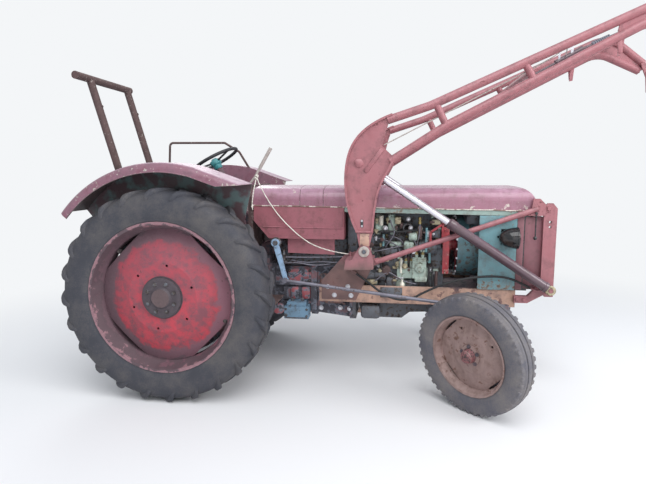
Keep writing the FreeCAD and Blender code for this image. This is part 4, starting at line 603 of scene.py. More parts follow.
def smooth_line(name, routes, radius, finish, body="chassis", stands_for=()):
    """One curve with a round section; a smooth spline for each route of points in metres."""
    line = bpy.data.curves.new(name, "CURVE")
    line.dimensions = "3D"
    line.bevel_depth = radius
    line.bevel_resolution = 3
    line.resolution_u = 6
    line.use_fill_caps = True
    for route in routes:
        spline = line.splines.new("NURBS")
        spline.points.add(len(route) - 1)
        for control, where in zip(spline.points, route):
            control.co = (*place(*where), 1.0)
        spline.order_u = 3
        spline.use_endpoint_u = True
    line.materials.append(finish)
    made = bpy.data.objects.new(name, line)
    bpy.context.scene.collection.objects.link(made)
    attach(made, body)
    if stands_for:
        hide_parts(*stands_for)
    return made


def metres(route):
    """A route of millimetres, in metres."""
    return [tuple(v * MM for v in where) for where in route]


hose = smooth_line("lift_hose_line", [metres(HOSE_ROUTE)], 0.008, hose_rubber,
                   stands_for=["lift_hose"])
rope = smooth_line("trip_rope_line", [metres(ROPE_ROUTE)], 0.004, rope_fibre,
                   stands_for=["trip_rope"])
tail = smooth_line("rope_tail_line", [metres(ROPE_TAIL)], 0.004, rope_fibre,
                   stands_for=["rope_tail"])
print("cords", hose.name, rope.name, tail.name)

# %% [markdown]
# The other new pieces are meshes. Each starts from a block, a ring or a short line of
# points; a few helpers do the steps that every piece needs, so that the cells below only say
# what a piece is. Places are metres from the rear axle, and `keep` moves them into the frame.

# %% Keeping a piece
def keep(name, build, finish, body="chassis", stands_for=(), crease=38):
    """Close, shade and colour a mesh, and let it ride on a body."""
    bmesh.ops.remove_doubles(build, verts=build.verts, dist=0.00002)
    bmesh.ops.recalc_face_normals(build, faces=build.faces)
    bmesh.ops.translate(build, verts=build.verts, vec=(REAR_AXLE_X, 0, 0))
    mesh = bpy.data.meshes.new(name)
    build.to_mesh(mesh)
    build.free()
    mesh.polygons.foreach_set("use_smooth", [True] * len(mesh.polygons))
    mesh.set_sharp_from_angle(angle=math.radians(crease))
    mesh.materials.append(finish)
    made = bpy.data.objects.new(name, mesh)
    bpy.context.scene.collection.objects.link(made)
    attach(made, body)
    if stands_for:
        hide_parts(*stands_for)
    print(name, "faces", len(mesh.polygons))
    return made


# %% Turned, cut and bolted shapes
def facing(origin, axis):
    """A turn and place that carries +Z onto an axis through an origin."""
    matrix = Vector(axis).to_track_quat("Z", "Y").to_matrix().to_4x4()
    matrix.translation = Vector(origin)
    return matrix


def lathe(build, profile, origin, axis, steps=24):
    """Spin a line of (radius, distance) points about an axis, as on a lathe."""
    put = facing(origin, axis)
    line = [build.verts.new(put @ Vector((r, 0, d))) for r, d in profile]
    edges = [build.edges.new(ends) for ends in zip(line, line[1:])]
    bmesh.ops.spin(build, geom=line + edges, cent=origin, axis=Vector(axis).normalized(),
                   angle=2 * math.pi, steps=steps, use_merge=True)


def round_edges(build, corners, offset):
    """Bevel every edge that meets the given corners."""
    edges = list({e for v in corners for e in v.link_edges})
    bmesh.ops.bevel(build, geom=edges, offset=offset, offset_type="OFFSET", segments=2, profile=0.5,
                    affect="EDGES", material=-1)


def block(build, low, high, edge=0.003):
    """A block between two corners, its edges rounded."""
    low, high = Vector(low), Vector(high)
    size = Matrix.Diagonal((*(high - low), 1))
    made = bmesh.ops.create_cube(build, size=1, matrix=Matrix.Translation((low + high) / 2) @ size)
    round_edges(build, made["verts"], edge)


def blocks(build, rows):
    """Several blocks, each given by its two corners and the size of its rounded edge."""
    for low, high, edge in rows:
        block(build, low, high, edge)


def side_block(build, side, low, high, edge=0.003):
    """A block on one side; the Y of both corners is measured outwards from the middle."""
    near, far = sorted((side * low[1], side * high[1]))
    block(build, (low[0], near, low[2]), (high[0], far, high[2]), edge)


def strap(build, start, end, width, thick, face=(0, 1, 0)):
    """A flat bar from one point to another, its broad side towards `face`."""
    start, end = Vector(start), Vector(end)
    along = (end - start).normalized()
    out = Vector(face).normalized()
    side = along.cross(out).normalized()
    turn = Matrix((side, out, along)).transposed().to_4x4()
    turn.translation = (start + end) / 2
    size = Matrix.Diagonal((width, thick, (end - start).length, 1))
    made = bmesh.ops.create_cube(build, size=1, matrix=turn @ size)
    round_edges(build, made["verts"], min(thick, width) * 0.25)


def boss(build, at, axis, shoulder, top, steps=24):
    """A round boss; shoulder and top are (radius, height), with a cone between them."""
    lathe(build, [(0, 0), (shoulder[0], 0), shoulder, top, (0, top[1])], at, axis, steps)


def bolt(build, at, axis, flats=0.019, height=0.012):
    """A hexagon head on its washer, with the head's corners turned off."""
    put = facing(at, axis)
    for low, high, radius, top, sides in ((0, 0.003, flats * 0.78, flats * 0.75, 16),
                                          (0.003, height * 0.8, flats * 0.577, flats * 0.577, 6),
                                          (height * 0.8, height, flats * 0.577, flats * 0.48, 6)):
        bmesh.ops.create_cone(build, cap_ends=True, segments=sides, radius1=radius, radius2=top,
                              depth=high - low, matrix=put @ Matrix.Translation((0, 0, (low + high) / 2)))


def circle(centre, across, radius, count, first=0.0):
    """Places round a centre, in the upright plane that holds the direction `across`."""
    for number in range(count):
        angle = math.tau * (number + first) / count
        out = math.cos(angle) * Vector(across) + math.sin(angle) * Vector((0, 0, 1))
        yield Vector(centre) + radius * out


# %% [markdown]
# A rear tractor tyre carries bars that lean from its middle out over the shoulder and
# end in a small nub on the wall. Extruded wedges would look like a gear wheel, so one bar is
# a rounded block bent along the shoulder by a table of stations, then copied by a spin.

# %% Rear tread
REAR_TYRE_Y = 0.750
WALL = [(0.502, 0.122), (0.508, 0.1285), (0.516, 0.1295), (0.522, 0.1335), (0.530, 0.1335), (0.537, 0.1375),
        (0.565, 0.1425), (0.600, 0.145), (0.636, 0.1445), (0.664, 0.141), (0.688, 0.131), (0.704, 0.112),
        (0.713, 0.085), (0.717, 0.045), (0.718, 0.0)]
# share of the bar, y and radius of its crest, y and radius of its root, lead along the tread
BAR = [(0.00, -0.008, 0.735, -0.008, 0.690, 0.044), (0.30, 0.060, 0.735, 0.056, 0.688, 0.008),
       (0.52, 0.100, 0.7335, 0.090, 0.680, -0.016), (0.68, 0.124, 0.726, 0.108, 0.668, -0.034),
       (0.82, 0.140, 0.708, 0.118, 0.655, -0.050), (0.92, 0.148, 0.685, 0.126, 0.645, -0.063),
       (1.00, 0.1485, 0.664, 0.132, 0.636, -0.070)]


def station(share):
    """Values of the bar's table at a share of its length."""
    for before, after in zip(BAR, BAR[1:]):
        if share <= after[0]:
            part = (share - before[0]) / (after[0] - before[0])
            return [a + (b - a) * part for a, b in zip(before[1:], after[1:])]
    return list(BAR[-1][1:])


def tread_bar(build):
    """A block, rounded on top, cut across, and bent over the shoulder."""
    made = bmesh.ops.create_cube(build, size=1.0)
    crest = [e for v in made["verts"] for e in v.link_edges if all(w.co.z > 0 for w in e.verts)]
    bmesh.ops.bevel(build, geom=list(set(crest)), offset=0.17, offset_type="OFFSET", segments=2, profile=0.5,
                    affect="EDGES", material=-1)
    long_edges = [e for e in build.edges if abs(e.verts[0].co.x - e.verts[1].co.x) > 0.5]
    bmesh.ops.subdivide_edges(build, edges=long_edges, cuts=8, use_grid_fill=True)
    for vert in build.verts:
        share = min(max(vert.co.x + 0.5, 0.0), 1.0)
        crest_y, crest_r, root_y, root_r, lead = station(share)
        rise = vert.co.z + 0.5
        y = root_y + (crest_y - root_y) * rise
        radius = root_r + (crest_r - root_r) * rise
        # a bar is 50 mm wide, wider at its root, and narrows to 38 % over the shoulder
        wide = 0.050 * (1 - 0.62 * max(share - 0.6, 0) / 0.4) * (1.22 - 0.22 * rise)
        angle = (lead + vert.co.y * wide) / radius
        vert.co = (radius * math.sin(angle), -y, radius * math.cos(angle))


# %% Tyres of both kinds
def round_the_tyre(build, count):
    """Copy one shoulder's block round the tyre, then to the other shoulder, half a pitch on."""
    pitch = 2 * math.pi / count
    bmesh.ops.spin(build, geom=build.verts[:] + build.edges[:] + build.faces[:], cent=(0, 0, 0),
                   axis=(0, 1, 0), angle=-pitch * (count - 1), steps=count - 1, use_duplicate=True)
    twin = bmesh.ops.duplicate(build, geom=build.verts[:] + build.edges[:] + build.faces[:])
    copied = [v for v in twin["geom"] if isinstance(v, bmesh.types.BMVert)]
    bmesh.ops.scale(build, verts=copied, vec=(1, -1, 1))
    bmesh.ops.rotate(build, verts=copied, cent=(0, 0, 0), matrix=Matrix.Rotation(pitch / 2, 3, "Y"))


def carcass(build, wall, bead_radius, bead_half, steps):
    """Spin one wall's outline, its mirror image and the closing line along the rim."""
    inside = [(bead_radius, -bead_half), (bead_radius, bead_half)]
    outline = wall + [(r, -y) for r, y in wall[-2::-1]] + inside + wall[:1]
    lathe(build, outline, (0, 0, 0), (0, 1, 0), steps)


# %% Rear tyres
for side, label in SIDES:
    build = bmesh.new()
    tread_bar(build)
    round_the_tyre(build, 24)
    carcass(build, WALL, 0.498, 0.100, steps=96)
    bmesh.ops.translate(build, verts=build.verts, vec=(0, side * REAR_TYRE_Y, AXLE_HEIGHT))
    keep("rear_tyre_rubber_" + label, build, rear_rubber, "rear_wheel_" + label,
         ["rear_tyre_" + label], crease=30)

# %% [markdown]
# The front tyre has three smooth ribs and a row of blocks on each shoulder. The wheel is
# drawn upright about its own middle, and one matrix leans it, sets it out and steers it,
# just as the knuckle does.

# %% Front wheel places
CAMBER = math.radians(6.0)
KINGPIN = (2.132, 0.645)
HUB_HEIGHT = 0.40016
# from the kingpin out to the wheel's middle
HUB_REACH = 0.110
# how far each wheel is steered as parked
PARKED_STEER = {-1: math.radians(42.6), 1: math.radians(30.6)}


def front_place(side):
    """From a wheel drawn about its middle, outside at -Y, to its parked place."""
    out = Matrix.Translation((0, -HUB_REACH * math.cos(CAMBER), HUB_HEIGHT))
    lean = out @ Matrix.Rotation(CAMBER, 4, "X")
    mirror = Matrix.Diagonal((1, -side, 1, 1))
    steer = Matrix.Rotation(-PARKED_STEER[side], 4, "Z")
    return Matrix.Translation((KINGPIN[0], side * KINGPIN[1], 0)) @ steer @ mirror @ lean


# %% Front tyres
FRONT_WALL = [(0.262, 0.0625), (0.268, 0.0665), (0.277, 0.069), (0.283, 0.073), (0.310, 0.079),
              (0.336, 0.0815), (0.358, 0.0812), (0.372, 0.0785), (0.3835, 0.071), (0.389, 0.061),
              (0.392, 0.048), (0.3965, 0.043), (0.3985, 0.030), (0.390, 0.027), (0.390, 0.021),
              (0.3995, 0.018), (0.400, 0.0)]
for side, label in SIDES:
    build = bmesh.new()
    block(build, (-0.015, -0.080, 0.360), (0.015, -0.047, 0.3925), edge=0.008)
    round_the_tyre(build, 46)
    carcass(build, FRONT_WALL, 0.259, 0.050, steps=72)
    bmesh.ops.transform(build, verts=build.verts, matrix=front_place(side))
    keep("front_tyre_rubber_" + label, build, front_rubber, "front_wheel_" + label,
         ["front_tyre_" + label], crease=30)

# %% [markdown]
# Hubs: eight bolts hold each rear disc, and a greasy cap with five nuts closes each front
# bearing. The bolts are one mesh a hub, copied round a circle by angle.

# %% Rear hub bolts and centres
HUB_FACE_Y = 0.865
for side, label in SIDES:
    out = (0, side, 0)
    build = bmesh.new()
    for at in circle((0, side * HUB_FACE_Y, AXLE_HEIGHT), (1, 0, 0), 0.100, 8, first=0.5):
        bolt(build, at, out, flats=0.026, height=0.015)
    # two of the rim's own bolts show in the slots of the disc
    for degrees in (138, -22):
        turn = math.radians(degrees)
        bolt(build, (0.443 * math.cos(turn), side * 0.772, AXLE_HEIGHT + 0.443 * math.sin(turn)), out,
             flats=0.024, height=0.020)
    keep("rear_hub_bolts_" + label, build, engine_iron, "rear_wheel_" + label)
    build = bmesh.new()
    lathe(build, [(0, 0.0), (0.034, 0.0), (0.034, 0.006), (0.030, 0.010), (0.024, 0.010), (0.021, 0.015),
                  (0, 0.016)], (0, side * (HUB_FACE_Y + 0.003), AXLE_HEIGHT), out)
    keep("rear_hub_centre_" + label, build, wheel_rust, "rear_wheel_" + label)

# %% Front hub caps and nuts
for side, label in SIDES:
    build = bmesh.new()
    lathe(build, [(0, 0.0), (0.049, 0.0), (0.049, 0.006), (0.0455, 0.010), (0.044, 0.034), (0.040, 0.040),
                  (0.036, 0.050), (0.032, 0.053), (0.031, 0.056), (0.015, 0.058), (0.014, 0.062),
                  (0, 0.062)], (0, -0.037, 0), (0, -1, 0))
    bolt(build, (0, -0.094, 0), (0, -1, 0), flats=0.018, height=0.008)
    bmesh.ops.transform(build, verts=build.verts, matrix=front_place(side))
    keep("front_hub_cap_" + label, build, greasy_red, "front_wheel_" + label)
    build = bmesh.new()
    for at in circle((0, -0.0375, 0), (1, 0, 0), 0.060, 5, first=0.3):
        bolt(build, at, (0, -1, 0), flats=0.019, height=0.014)
    bmesh.ops.transform(build, verts=build.verts, matrix=front_place(side))
    keep("front_wheel_nuts_" + label, build, casting, "front_wheel_" + label)

# %% [markdown]
# Behind each disc turns a dark brake drum with its dust plate; without it daylight would
# show through the slots. A drum is turned, so it is a lathe profile, open to the inside.

# %% Drums behind the discs
for side, label in SIDES:
    build = bmesh.new()
    lathe(build, [(0.060, 0.060), (0.300, 0.060), (0.330, 0.054), (0.336, 0.040), (0.336, 0.026),
                  (0.450, 0.026), (0.456, 0.020), (0.450, 0.020), (0.336, 0.020), (0.336, 0.000),
                  (0.326, 0.000), (0.326, 0.044), (0.300, 0.050), (0.060, 0.050), (0.060, 0.060)],
          (0, side * 0.620, AXLE_HEIGHT), (0, side, 0), steps=48)
    middle = (0, side * 0.684, AXLE_HEIGHT)
    # eight ribs run out along the drum's face
    for start, end in zip(circle(middle, (1, 0, 0), 0.120, 8), circle(middle, (1, 0, 0), 0.300, 8)):
        strap(build, start, end, 0.012, 0.010)
    keep("rear_drum_" + label, build, gear_casting, "rear_wheel_" + label)
    build = bmesh.new()
    lathe(build, [(0.050, 0.000), (0.205, 0.000), (0.240, -0.006), (0.249, -0.014), (0.249, -0.020),
                  (0.238, -0.012), (0.204, -0.005), (0.050, -0.005), (0.050, 0.000)], (0, 0.020, 0),
          (0, -1, 0), steps=48)
    bmesh.ops.transform(build, verts=build.verts, matrix=front_place(side))
    keep("front_dust_plate_" + label, build, gear_casting, "front_wheel_" + label)

# %% [markdown]
# The driver steers with a black rim on a turquoise hub. The rim and spokes are right as
# they are, so only the hub and its knob are turned here, on the column's leaning axis.

# %% Steering wheel hub
COLUMN_LEAN = math.radians(29.0)
WHEEL_CENTRE = (0.094, 0, 1.651)
build = bmesh.new()
lathe(build, [(0, -0.062), (0.030, -0.062), (0.034, -0.056), (0.036, -0.030), (0.042, -0.026),
              (0.045, -0.018), (0.045, 0.004), (0.040, 0.013), (0.024, 0.018), (0.022, 0.026), (0, 0.028)],
      Vector(WHEEL_CENTRE), (-math.sin(COLUMN_LEAN), 0, math.cos(COLUMN_LEAN)), steps=32)
keep("steering_wheel_hub", build, turquoise, "steering_wheel")

# %% [markdown]
# The headlamps are spun steel bowls with a rolled rim and a pressed glass. The bowl is
# turned with its wall thickness in one outline, so that it is hollow behind the glass.

# %% Headlamps
LAMP = (2.330, 0.360, 1.114)
# the bowl is half an egg, 147 mm across and 115 mm deep
BOWL_RADIUS, BOWL_DEPTH, BOWL_MOUTH = 0.0735, 0.115, 0.040
BOWL_STATIONS = (-0.075, -0.0735, -0.069, -0.060, -0.046, -0.028, -0.006, 0.018, 0.040)
shell = [(BOWL_RADIUS * math.sqrt(max(0.0, 1 - ((d - BOWL_MOUTH) / BOWL_DEPTH) ** 2)), d)
         for d in BOWL_STATIONS]
rolled_rim = [(0.0765, 0.041), (0.0775, 0.047), (0.0755, 0.053), (0.0715, 0.055), (0.068, 0.050)]
inside = [(0.065, 0.035), (0.058, 0.012), (0.035, -0.020), (0, -0.030)]
lens = [(0, 0.056), (0.020, 0.055), (0.040, 0.051), (0.056, 0.0455), (0.0662, 0.040), (0.0662, 0.036),
        (0.050, 0.040), (0, 0.048)]
build = bmesh.new()
glass = bmesh.new()
for side in (-1, 1):
    lamp = (LAMP[0], side * LAMP[1], LAMP[2])
    lathe(build, shell + rolled_rim + inside, lamp, (1, 0, 0), steps=48)
    lathe(glass, lens, lamp, (1, 0, 0), steps=48)
    side_block(build, side, (2.246, 0.298, 1.098), (LAMP[0], 0.308, 1.130))
    bolt(build, (2.262, side * 0.307, LAMP[2]), (0, side, 0), flats=0.013, height=0.008)
keep("headlamp_bowls", build, lamp_enamel, stands_for=["headlamps"], crease=50)
keep("headlamp_glasses", glass, lamp_glass)

# %% [markdown]
# The seat is a pressed steel pan on a leaf spring, moulded to the body. Sheet is best made
# as a surface first: a grid is pushed into a bowl with a raised back, then given thickness.

# %% Driver's seat
build = bmesh.new()
# the pan is 380 mm deep and 424 mm wide, its back 155 mm high
bmesh.ops.create_grid(build, x_segments=20, y_segments=20, size=0.5)
for vert in build.verts:
    u, v = vert.co.x * 2, vert.co.y * 2
    round_off = 1 - 0.16 * (u * u * v * v)
    back = max(-u - 0.30, 0) / 0.70
    hollow = 0.030 * (u * u + v * v) - 0.012 * math.cos(math.pi * v) * (1 - u * u)
    vert.co = (-0.300 + 0.190 * u * round_off, 0.212 * v * round_off,
               1.172 + hollow + 0.155 * back ** 1.6 + 0.018 * abs(v) ** 3)
bmesh.ops.recalc_face_normals(build, faces=build.faces)
bmesh.ops.solidify(build, geom=build.faces[:], thickness=0.005)
strap(build, (-0.365, 0, 1.146), (-0.352, 0, 1.090), 0.060, 0.008, face=(1, 0, 0.2))
strap(build, (-0.360, 0, 1.092), (-0.050, 0, 1.010), 0.070, 0.010, face=(0.25, 0, 1))
strap(build, (-0.060, 0, 1.014), (0.045, 0, 1.006), 0.070, 0.010, face=(0, 0, 1))
strap(build, (-0.372, 0, 1.150), (-0.230, 0, 1.162), 0.060, 0.008, face=(0, 0, 1))
for x in (-0.010, 0.025):
    bolt(build, (x, 0, 1.012), (0, 0, 1))
keep("driver_seat_pan", build, black_plastic, stands_for=["driver_seat"], crease=50)

# %% [markdown]
# The engine's right-hand side is crowded: filters, pump, unions, pipes, brackets. None of
# it matters alone, but together it is what the eye reads as an engine, so the parts are made
# by kind, each kind in one mesh, and the larger ones stand where the real machine has them.

# %% Engine: pale green castings
RIGHT = (0, -1, 0)
UP = (0, 0, 1)
build = bmesh.new()
blocks(build, (((1.640, -0.262, 1.070), (1.702, -0.150, 1.125), 0.012),
               ((1.607, -0.255, 0.996), (1.681, -0.160, 1.060), 0.014),
               ((1.688, -0.270, 0.765), (1.778, -0.180, 0.805), 0.010),
               ((1.500, -0.215, 1.020), (1.590, -0.150, 1.052), 0.010)))
# the pump's face is ribbed
for z in (0.905, 0.920, 0.935):
    block(build, (1.676, -0.267, z), (1.768, -0.255, z + 0.006), edge=0.0015)
lathe(build, [(0, 0), (0.036, 0), (0.036, 0.012), (0.030, 0.020), (0.014, 0.022), (0.013, 0.030), (0, 0.030)],
      (1.722, -0.260, 0.868), RIGHT)
boss(build, (1.644, -0.254, 1.028), RIGHT, (0.026, 0.010), (0.020, 0.014))
boss(build, (1.672, -0.261, 1.098), RIGHT, (0.020, 0.008), (0.012, 0.012))
lathe(build, [(0, 0), (0.040, 0), (0.042, 0.006), (0.042, 0.020), (0.034, 0.028), (0, 0.028)],
      (1.588, -0.222, 0.672), UP)
keep("engine_green_castings", build, pale_green)

# %% Engine: pots, tubes and cocks
build = bmesh.new()
lathe(build, [(0, 0), (0.013, 0), (0.0165, 0.006), (0.0165, 0.056), (0.0195, 0.060), (0.0195, 0.070),
              (0.007, 0.074), (0, 0.078)], (1.437, -0.232, 1.178), UP)
lathe(build, [(0, 0), (0.0085, 0), (0.0085, 0.105), (0.0105, 0.108), (0, 0.112)], (1.5885, -0.245, 0.826), UP)
lathe(build, [(0, 0), (0.006, 0.001), (0.014, 0.008), (0.0185, 0.020), (0.016, 0.032), (0.008, 0.042),
              (0.006, 0.060), (0, 0.062)], (1.598, -0.262, 0.720), UP)
lathe(build, [(0, 0), (0.016, 0), (0.016, 0.030), (0.012, 0.036), (0, 0.037)], (1.352, -0.200, 0.985), UP)
keep("engine_white_pots", build, white_enamel)
build = bmesh.new()
blocks(build, (((1.539, -0.250, 1.190), (1.583, -0.150, 1.241), 0.006),
               ((1.292, -0.240, 0.842), (1.368, -0.165, 0.880), 0.010),
               ((1.330, -0.246, 0.735), (1.412, -0.165, 0.768), 0.010),
               ((1.420, -0.230, 0.905), (1.500, -0.165, 0.935), 0.008),
               ((1.806, -0.232, 1.186), (1.868, -0.170, 1.222), 0.006)))
boss(build, (1.372, -0.244, 0.752), RIGHT, (0.022, 0.010), (0.012, 0.016))
boss(build, (1.330, -0.238, 0.861), RIGHT, (0.018, 0.012), (0.010, 0.018))
keep("engine_cream_parts", build, cream_paint)

# %% Engine: brass unions
build = bmesh.new()
lathe(build, [(0, 0), (0.013, 0), (0.013, 0.018), (0.009, 0.021), (0.009, 0.031), (0.012, 0.034),
              (0.012, 0.048), (0.005, 0.052), (0, 0.052)], (1.7195, -0.240, 1.192), UP, steps=6)
# unions on top of the pump
for at in ((1.585, -0.205, 0.908), (1.625, -0.205, 0.908), (1.665, -0.205, 0.908), (1.700, -0.240, 0.964),
           (1.744, -0.240, 0.964)):
    lathe(build, [(0, 0), (0.0125, 0), (0.0125, 0.014), (0.008, 0.017), (0.006, 0.024), (0, 0.024)], at, UP,
          steps=6)
# one injector for each cylinder, leaning outwards
for x in (1.330, 1.480, 1.630, 1.780):
    boss(build, (x, -0.150, 1.085), (0, -1, 0.5), (0.012, 0.018), (0.007, 0.026), steps=6)
keep("engine_brass_unions", build, dull_brass)

# %% Engine: brown parts and teal tubes
build = bmesh.new()
lathe(build, [(0, 0), (0.0155, 0), (0.0155, 0.020), (0.0175, 0.022), (0.0175, 0.030), (0.0155, 0.032),
              (0.0155, 0.090), (0.010, 0.097), (0, 0.097)], (1.7215, -0.228, 1.080), UP)
lathe(build, [(0, 0), (0.030, 0), (0.034, 0.010), (0.034, 0.050), (0.024, 0.058), (0, 0.058)],
      (1.478, -0.196, 0.842), RIGHT)
lathe(build, [(0, 0), (0.012, 0), (0.012, 0.140), (0, 0.142)], (1.846, -0.215, 0.700), UP)
keep("engine_brown_parts", build, bar_rust)
build = bmesh.new()
# each tube has a collar just below its middle
for at, height, radius in (((1.7685, -0.232, 0.985), 0.178, 0.0085), ((1.795, -0.205, 0.900), 0.240, 0.010),
                           ((1.455, -0.205, 1.020), 0.090, 0.009)):
    collar = radius * 1.35
    lathe(build, [(0, 0), (radius, 0), (radius, height * 0.4), (collar, height * 0.42),
                  (collar, height * 0.5), (radius, height * 0.52), (radius, height), (0, height + 0.002)],
          at, UP)
keep("engine_teal_tubes", build, teal_enamel)

# %% [markdown]
# Between the larger parts lie clips, nuts, caps and lugs, a few centimetres each. They
# could be placed one by one, but they are too many and too small to tell apart, so a seeded
# draw spreads four paints of them over the engine's side.

# %% Engine: small fittings
random.seed(11)
for name, finish, slot, count in (("engine_pale_fittings", pale_green, "engine_green", 30),
                                  ("engine_cream_fittings", cream_paint, "engine_green", 26),
                                  ("engine_rusty_fittings", bar_rust, "rust_steel", 26),
                                  ("engine_bright_fittings", plated_steel, "engine_green", 22)):
    build = bmesh.new()
    for number in range(count):
        x, y, z = random.uniform(1.29, 1.86), random.uniform(-0.232, -0.176), random.uniform(0.665, 1.245)
        size = random.uniform(0.010, 0.022)
        # in turn a cap that looks outwards, an upright union and a lug
        if number % 3 == 0:
            lathe(build, [(0, 0), (size, 0), (size, size * 0.7), (size * 0.6, size), (size * 0.5, size * 1.7),
                          (0, size * 1.8)], (x, y, z), RIGHT, steps=12)
        elif number % 3 == 1:
            lathe(build, [(0, 0), (size * 0.6, 0), (size * 0.6, size), (size * 0.9, size * 1.1),
                          (size * 0.9, size * 2.0), (size * 0.5, size * 2.4), (0, size * 2.5)], (x, y, z), UP,
                  steps=12)
        else:
            block(build, (x - size, y - 0.010, z - size * 0.5), (x + size, -0.160, z + size * 0.5),
                  edge=0.003)
    keep(name, build, finish)

# %% [markdown]
# The rest of the engine is dark and oily: filters lying along it, a breather, feet, and
# bulkheads under the bonnet and the tank that close the view through to the left side.

# %% Engine: dark castings
build = bmesh.new()
lathe(build, [(0.018, 0), (0.037, 0), (0.037, 0.055), (0.032, 0.062), (0.025, 0.062), (0.022, 0.056),
              (0.018, 0.010), (0.018, 0)], (1.631, -0.148, 1.158), RIGHT, steps=32)
lathe(build, [(0, 0), (0.040, 0), (0.044, 0.006), (0.044, 0.030), (0.041, 0.034), (0.041, 0.150),
              (0.045, 0.154), (0.045, 0.176), (0.030, 0.186), (0, 0.186)], (1.292, -0.205, 0.800), (1, 0, 0))
lathe(build, [(0, 0), (0.052, 0), (0.056, 0.010), (0.056, 0.120), (0.046, 0.132), (0.020, 0.134),
              (0.018, 0.160), (0, 0.160)], (1.715, -0.175, 1.015), (1, 0, 0))
lathe(build, [(0, 0), (0.058, 0), (0.064, 0.008), (0.064, 0.160), (0.056, 0.172), (0.020, 0.174),
              (0.018, 0.200), (0, 0.200)], (1.660, 0.215, 1.000), (1, 0, 0))
blocks(build, (((1.186, -0.200, 0.935), (1.262, 0.200, 1.296), 0.012),
               ((0.640, -0.150, 0.845), (1.180, 0.150, 1.070), 0.020),
               ((1.290, -0.100, 1.110), (1.880, 0.100, 1.285), 0.020),
               ((2.050, -0.235, 1.190), (2.180, 0.235, 1.288), 0.016),
               ((1.885, 0.130, 0.790), (2.060, 0.200, 1.260), 0.020),
               ((1.295, -0.285, 0.475), (1.440, -0.165, 0.582), 0.026),
               ((1.808, -0.222, 1.090), (1.870, -0.165, 1.150), 0.006),
               ((1.285, -0.205, 1.030), (1.395, -0.140, 1.118), 0.012),
               ((1.440, -0.225, 0.960), (1.560, -0.165, 1.004), 0.010),
               ((1.395, -0.255, 0.790), (1.470, -0.165, 0.828), 0.008),
               ((1.480, -0.228, 0.700), (1.560, -0.165, 0.790), 0.014),
               ((1.610, -0.215, 0.690), (1.680, -0.165, 0.770), 0.012)))
for side in (-1, 1):
    side_block(build, side, (1.440, 0.290, 0.652), (1.600, 0.3095, 0.728))
for x in (1.300, 1.420, 1.540, 1.660, 1.780):
    block(build, (x, -0.180, 0.640), (x + 0.070, -0.160, 0.760), edge=0.006)
keep("engine_dark_castings", build, engine_iron)

# %% [markdown]
# Bolts are what makes plain castings read as real. Rows of them follow the covers and the
# joints of the housings, on both sides.

# %% Engine and housing bolts
build = bmesh.new()
for side in (-1, 1):
    out = (0, side, 0)
    # rocker cover, cylinder block, sump
    for x in (1.280, 1.395, 1.450, 1.560, 1.620, 1.735, 1.790, 1.870):
        bolt(build, (x, side * 0.140, 1.112), (0, side, 0.6), flats=0.016)
    for x in (1.372, 1.456, 1.542, 1.626, 1.712, 1.796):
        for z in (0.872, 0.960):
            bolt(build, (x, side * 0.172, z), out, flats=0.013, height=0.009)
    for x in (1.290, 1.390, 1.490, 1.590, 1.690, 1.790, 1.870):
        bolt(build, (x, side * 0.168, 0.611), out, flats=0.014, height=0.010)
    # flanges of the housings, then the clutch cover
    for x, half in ((0.600, 0.205), (0.930, 0.192), (1.206, 0.212)):
        for z in (0.520, 0.600, 0.680, 0.760, 0.820):
            bolt(build, (x, side * half, z), (-1, 0, 0))
    for x, z in ((1.020, 0.570), (1.140, 0.570), (1.020, 0.650), (1.140, 0.650)):
        bolt(build, (x, side * 0.186, z), out, flats=0.016)
keep("casting_bolts", build, engine_iron)

# %% Plated bolts
build = bmesh.new()
for x, half, z in ((1.051, 0.312, 0.723), (1.201, 0.312, 0.727), (1.100, 0.312, 0.660), (1.225, 0.312, 0.660),
                   (0.985, 0.204, 0.530), (1.134, 0.204, 0.535), (1.206, 0.224, 0.534)):
    for side in (-1, 1):
        bolt(build, (x, side * half, z), (0, side, 0), flats=0.024, height=0.016)
# the shroud's ring
for at in circle((1.996, 0, 1.010), (0, 1, 0), 0.224, 20):
    bolt(build, at, (-1, 0, 0), flats=0.014)
keep("plated_bolts", build, plated_steel)

# %% [markdown]
# Pipes and wires are drawn like the cords, but rigid: injection pipes of bright steel,
# black hoses, and control rods along the gearbox.

# %% Pipes and wires
steel_runs = [
    [(1.585, -0.205, 0.930), (1.585, -0.206, 0.975), (1.550, -0.222, 1.040), (1.430, -0.214, 1.078),
     (1.336, -0.190, 1.086), (1.330, -0.165, 1.094)],
    [(1.625, -0.205, 0.930), (1.625, -0.206, 0.990), (1.590, -0.236, 1.075), (1.520, -0.214, 1.096),
     (1.484, -0.188, 1.096), (1.480, -0.165, 1.094)],
    [(1.665, -0.205, 0.930), (1.665, -0.210, 0.975), (1.700, -0.248, 1.010), (1.690, -0.268, 1.060),
     (1.640, -0.250, 1.135), (1.630, -0.165, 1.094)],
    [(1.744, -0.240, 0.986), (1.744, -0.242, 1.030), (1.780, -0.244, 1.070), (1.784, -0.205, 1.104),
     (1.780, -0.165, 1.094)],
    [(1.503, -0.236, 1.219), (1.512, -0.240, 1.190), (1.541, -0.242, 1.131), (1.520, -0.240, 1.085),
     (1.469, -0.238, 1.018), (1.466, -0.200, 0.990)],
    [(1.300, -0.250, 0.962), (1.390, -0.254, 0.985), (1.470, -0.250, 1.000), (1.560, -0.240, 1.022),
     (1.600, -0.220, 1.026)],
    [(1.700, -0.240, 0.986), (1.700, -0.250, 1.040), (1.7195, -0.246, 1.120), (1.7195, -0.240, 1.196)],
    [(1.395, -0.262, 0.760), (1.480, -0.250, 0.840), (1.540, -0.246, 0.812), (1.610, -0.250, 0.760),
     (1.700, -0.262, 0.750)],
]
